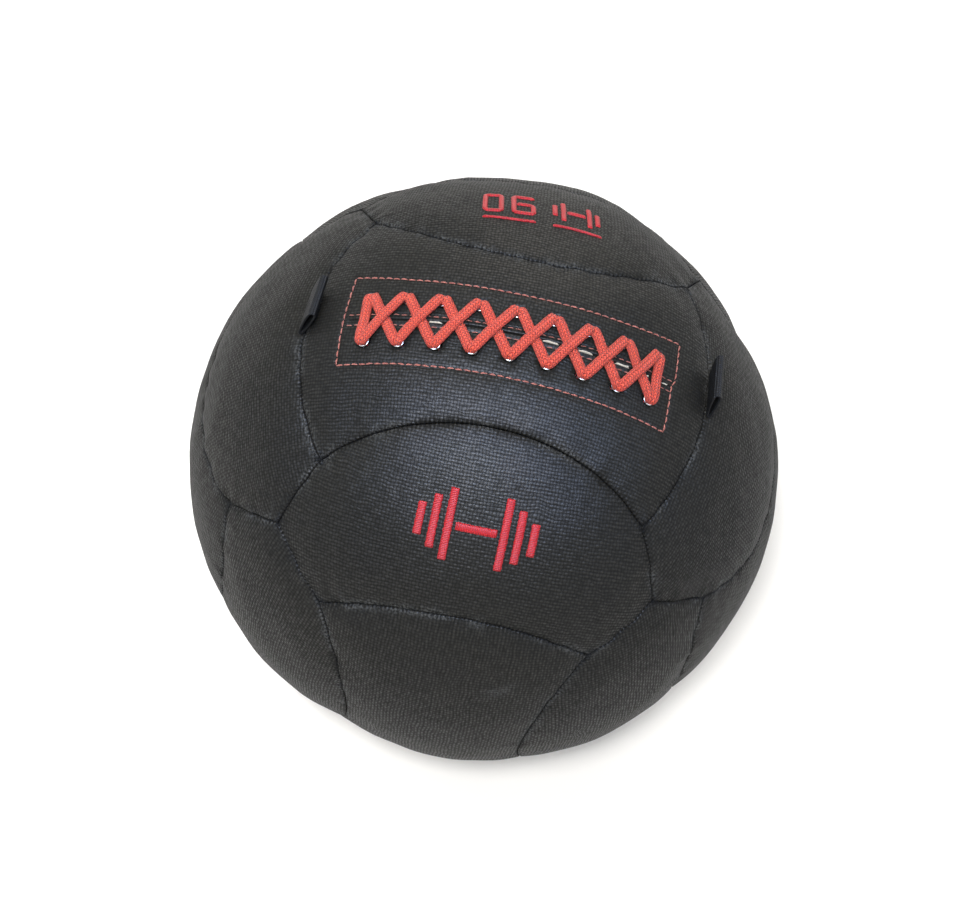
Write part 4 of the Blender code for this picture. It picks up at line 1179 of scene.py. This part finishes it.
def build_lace(material):
    """The lace: one tube of braid along its route, flattened, and squeezed in the eyelets."""
    route = rounded_path(lace_route(), 10)
    ups = slit_directions(route[:, 0], route[:, 1])
    line = CENTRE + ups * (RADIUS + route[:, 2])[:, None]
    lengths = np.concatenate(((0,), np.cumsum(np.linalg.norm(np.diff(line, axis=0), axis=1))))
    columns = round(lengths[-1] / LACE_STEP)
    even = np.linspace(0, lengths[-1], columns + 1)
    line = np.stack([np.interp(even, lengths, line[:, axis]) for axis in range(3)], -1)
    values = np.stack([np.interp(even, lengths, route[:, axis]) for axis in range(6)], -1)
    ahead = unit(np.gradient(line, axis=0))
    along, across, height, turn, width, plump = values.T
    length_angle, side_angle = along / RADIUS, across / RADIUS
    east = np.stack((np.cos(length_angle), 0 * along, -np.sin(length_angle)), -1)
    north = np.stack((
        -np.sin(side_angle) * np.sin(length_angle), np.cos(side_angle),
        -np.sin(side_angle) * np.cos(length_angle),
    ), -1)
    side = east * np.cos(turn)[:, None] + north * np.sin(turn)[:, None]
    side = unit(side - ahead * np.sum(ahead * side, axis=1)[:, None])
    face = np.cross(ahead, side)
    rows = 26
    piece, column, row = add_grid("braided_lace", columns, rows)
    angle = 2 * math.pi * row / rows - math.pi / 2
    flatter = np.abs(np.cos(angle)) ** LACE_SECTION[0] * np.sign(np.cos(angle))
    fuller = np.abs(np.sin(angle)) ** LACE_SECTION[1] * np.sign(np.sin(angle))
    thickness = LACE_THICKNESS * plump[column]
    points = (
        line[column]
        + side[column] * (flatter * width[column] / 2)[:, None]
        + face[column] * (fuller * thickness / 2)[:, None]
    )
    place_points(piece, points)
    around = (row / rows - 0.5) * 2 * (LACE_WIDTH + LACE_THICKNESS)
    place_cloth(piece, np.stack((even[column], around), -1))
    # Painted shade: how far down into an eyelet each point of the lace lies
    lifts = np.linalg.norm(points - CENTRE, axis=1) - RADIUS
    place_shares(piece, "in_eyelet", np.clip(1 - lifts / EYELET_SHADE, 0, 1))
    close_seam()
    finish_piece(piece, material, "ball", ["lace"])


def build_bag_lip(panel, material):
    """The inner bag's mouth, crumpled in the slit: it peeps out between the strands."""
    columns, rows = 300, 8
    piece, column, row = add_grid("crumpled_bag_mouth", columns, rows)
    along = (column / columns * 2 - 1) * MOUTH_REACH * MM
    peeping = np.zeros(len(along))
    for first, last in BAG_PEEPS:
        rise = np.clip((along - first * MM) / (2 * MM), 0, 1)
        fall = np.clip((last * MM - along) / (2 * MM), 0, 1)
        peeping = np.maximum(peeping, rise * fall)
    angle = math.pi * row / rows
    spots = np.stack((along, 0 * along, 0 * along), -1)
    wave = MOUTH_CRUMPLE * ripples(spots, CRUMPLE_SIZES, count=8, seed=7)
    across = (MOUTH_HALF * np.cos(angle) + wave) * MM
    crest = MOUTH_CREST + MOUTH_RISE * peeping + wave
    lift = (crest - MOUTH_DROP * (1 - np.sin(angle))) * MM
    ups = slit_directions(along, across)
    place_points(piece, CENTRE + ups * (RADIUS + lift)[:, None])
    place_cloth(piece, np.stack((along, across), -1))
    apply_wall(piece, MOUTH_WALL * MM)
    finish_piece(piece, material, "ball")


# Webbing loops


def belt_outline(root_radius, fold_radius, steps):
    """The outline round a small circle at the origin and a larger one at the loop's reach."""
    spread = math.acos((root_radius - fold_radius) / LOOP_REACH)
    root = spread + (2 * math.pi - 2 * spread) * np.arange(steps + 1) / steps
    fold = -spread + 2 * spread * np.arange(steps + 1) / steps
    points = np.concatenate((
        np.stack((root_radius * np.cos(root), root_radius * np.sin(root)), -1),
        np.stack((LOOP_REACH + fold_radius * np.cos(fold), fold_radius * np.sin(fold)), -1),
    ))
    return np.concatenate((points, points[:1]))


def build_loop(joint, material):
    """One loop: webbing folded over, its two legs sewn into the seam."""
    name = joint["child"]
    end = -1 if name.endswith("left") else 1
    columns, rows = 96, 20
    piece, column, row = add_grid(name.replace("webbing_loop", "folded_webbing"), columns, rows)
    outline = belt_outline(LOOP_ROOT_RADIUS, LOOP_FOLD_RADIUS, 12)
    _, _, whole = along_path(outline, np.zeros(1))
    places, _, _ = along_path(outline, column / columns * whole)
    across = (row / rows - 0.5) * LOOP_WIDTH
    bulge = LOOP_BULGE * np.sin(np.clip(places[:, 0] / LOOP_REACH, 0, 1) * math.pi)
    belly = 1 - (2 * across / LOOP_WIDTH) ** 2 * LOOP_EDGE_FLATTER
    local = np.stack((
        places[:, 0], across + end * LOOP_SKEW_SHARE * places[:, 0],
        places[:, 1] + np.sign(places[:, 1]) * bulge * belly,
    ), -1)
    origin = np.array(joint["pos_m"])
    up = unit(origin - CENTRE)
    sideways = -np.array(joint["axis"])
    sideways = unit(sideways - up * (up @ sideways))
    outward = np.cross(sideways, up)
    lean = LOOP_LEANS[name]
    length = outward * math.cos(lean) + up * math.sin(lean)
    thickness = np.cross(length, sideways)
    turn = np.stack((length, sideways, thickness))
    place_points(piece, origin + local @ turn)
    place_cloth(piece, np.stack((column / columns * whole, across), -1))
    close_seam(fill=False)
    apply_wall(piece, LOOP_WEBBING)
    soften = piece.modifiers.new("soft_edges", "BEVEL")
    soften.width = LOOP_EDGE
    soften.segments = 2
    bpy.ops.object.modifier_apply(modifier=soften.name)
    finish_piece(piece, material, joint["child"], [name])


# What lies inside


def dress_inside(bag_cloth):
    """Give the pieces inside the ball the finish of what they are made of."""
    shreds = loose_stuff("shredded_textile", "3A3F4A", "A39C94", 9 * MM, 0.95)
    finishes = {
        "slit_facing": loose_stuff("black_canvas", "101112", "26282B", 1 * MM, 0.9),
        "inner_bag": bag_cloth,
        "stuffing_lower": shreds,
        "stuffing_upper": shreds,
        "ballast_bag": loose_stuff("calico", "C9BE9F", "E2D9BE", 0.8 * MM, 0.9),
        "iron_sand": loose_stuff("iron_sand", "1E1B1A", "57504B", 0.7 * MM, 0.6),
        "ballast_tie": loose_stuff("nylon_cord", "D4D3CC", "F2F2EC", 0.9 * MM, 0.5),
    }
    for name, material in finishes.items():
        node = frame["nodes"][name]
        node.data.materials.clear()
        node.data.materials.append(material)


# Stage, light and camera


def seen_rays(tree):
    """1 for what the eye sees straight, in gloss or through glass, and 0 for lighting."""
    ray = add_node(tree, "LightPath").outputs
    plain = add_node(
        tree, "Math", (ray["Is Camera Ray"], ray["Is Glossy Ray"]), operation="MAXIMUM"
    )
    return add_node(tree, "Math", (plain, ray["Is Transmission Ray"]), operation="MAXIMUM")


def build_stage():
    """A white floor that keeps the ball's shadow, and stays white where no light reaches."""
    bpy.ops.mesh.primitive_plane_add(size=FLOOR_SIZE)
    floor = bpy.context.active_object
    floor.name = "floor"
    floor.location.z = -FLOOR_GAP
    bpy.ops.object.transform_apply(location=True)
    material, tree, shader = new_material("painted_floor", "F3F5F8", 0.9)
    place = add_node(tree, "TexCoord").outputs["Object"]
    distance = add_node(tree, "VectorMath", (place,), operation="LENGTH").outputs["Value"]
    strength = add_node(tree, "MapRange", (distance, *GLOW_REACH, FLOOR_GLOW, 1.0))
    glow = add_node(tree, "Emission", {"Strength": strength})
    none = add_node(tree, "Emission", {"Strength": 0.0})
    lit = add_node(tree, "MixShader", (seen_rays(tree), none, glow))
    total = add_node(tree, "AddShader", (shader, lit))
    feed(tree, tree.nodes["Material Output"], {"Surface": total})
    floor.data.materials.append(material)
    bpy.ops.object.select_all(action="DESELECT")


def build_sky():
    """White where it is seen, and a soft sky for light: cool above and warm low down."""
    world = bpy.data.worlds.new("studio")
    bpy.context.scene.world = world
    world.use_nodes = True
    tree = world.node_tree
    tree.nodes.clear()
    way = add_node(tree, "TexCoord").outputs["Generated"]
    rise = add_node(tree, "SeparateXYZ", (way,)).outputs["Z"]
    sky = add_node(tree, "ValToRGB", (rise,))
    set_stops(sky, ("F4F0E4", "DCE8FA"))
    light = add_node(tree, "Background", {"Color": sky, "Strength": SKY_LIGHT})
    white = add_node(tree, "Background", {"Strength": 1.0})
    mixed = add_node(tree, "MixShader", (seen_rays(tree), light, white))
    add_node(tree, "OutputWorld", {"Surface": mixed})


def add_soft_light(name, way, distance, size, watts, hex_code):
    """A square soft box aimed at the ball, in a direction and at a distance from it."""
    lamp = bpy.data.lights.new(name, "AREA")
    lamp.shape = "SQUARE"
    lamp.size = size
    lamp.energy = watts
    lamp.color = linear_colour(hex_code)[:3]
    holder = bpy.data.objects.new(name, lamp)
    bpy.context.scene.collection.objects.link(holder)
    away = Vector(way).normalized()
    holder.location = Vector(CENTRE) + away * distance
    holder.rotation_euler = away.to_track_quat("Z", "Y").to_euler()
    return holder


def build_camera():
    """The photograph's own view: high over the front of the ball, and rolled a little."""
    view = (
        Matrix.Rotation(CAMERA_ROLL, 3, "Z")
        @ Matrix.Rotation(CAMERA_ELEVATION - math.pi / 2, 3, "X")
        @ Matrix.Rotation(CAMERA_AZIMUTH, 3, "Z")
    ).transposed()
    lens = bpy.data.cameras.new("camera")
    lens.sensor_width = CAMERA_SENSOR
    lens.lens = CAMERA_LENS
    lens.shift_y = CAMERA_SHIFT
    camera = bpy.data.objects.new("camera", lens)
    bpy.context.scene.collection.objects.link(camera)
    place = Vector(CENTRE) + view @ Vector((0, 0, CAMERA_DISTANCE))
    camera.matrix_world = Matrix.Translation(place) @ view.to_4x4()
    bpy.context.scene.camera = camera


def main():
    """Dress the ball."""
    bpy.context.scene.view_settings.view_transform = "Standard"
    weave = coated_basket_weave()
    panels = {}
    for table, shape in ((SIDE_PANELS, SIDE_SHAPE), (CENTRE_PANELS, CENTRE_SHAPE)):
        for name, (axis, along) in table.items():
            panels[name] = Panel(name, shape, axis, along)
            build_panel(panels[name], weave)
    bag_cloth = loose_stuff("undyed_polyester", "CFCDC6", "F0EEE9", 0.7 * MM, 0.8)
    build_stitching(panels["panel_top_lace"])
    build_markings(panels["panel_top_front"], panels["panel_top_rear"])
    build_eyelets(nickel_plate())
    build_lace(braided_lace())
    build_bag_lip(panels["panel_top_lace"], bag_cloth)
    webbing = ribbed_webbing()
    for joint in frame["joints"]:
        build_loop(joint, webbing)
    dress_inside(bag_cloth)
    build_stage()
    build_sky()
    for light in SOFT_LIGHTS:
        add_soft_light(*light)
    card = add_soft_light(*SHEEN_CARD)
    card.data.shape = "RECTANGLE"
    card.data.size_y = CARD_HEIGHT
    card.visible_diffuse = False
    build_camera()


main()
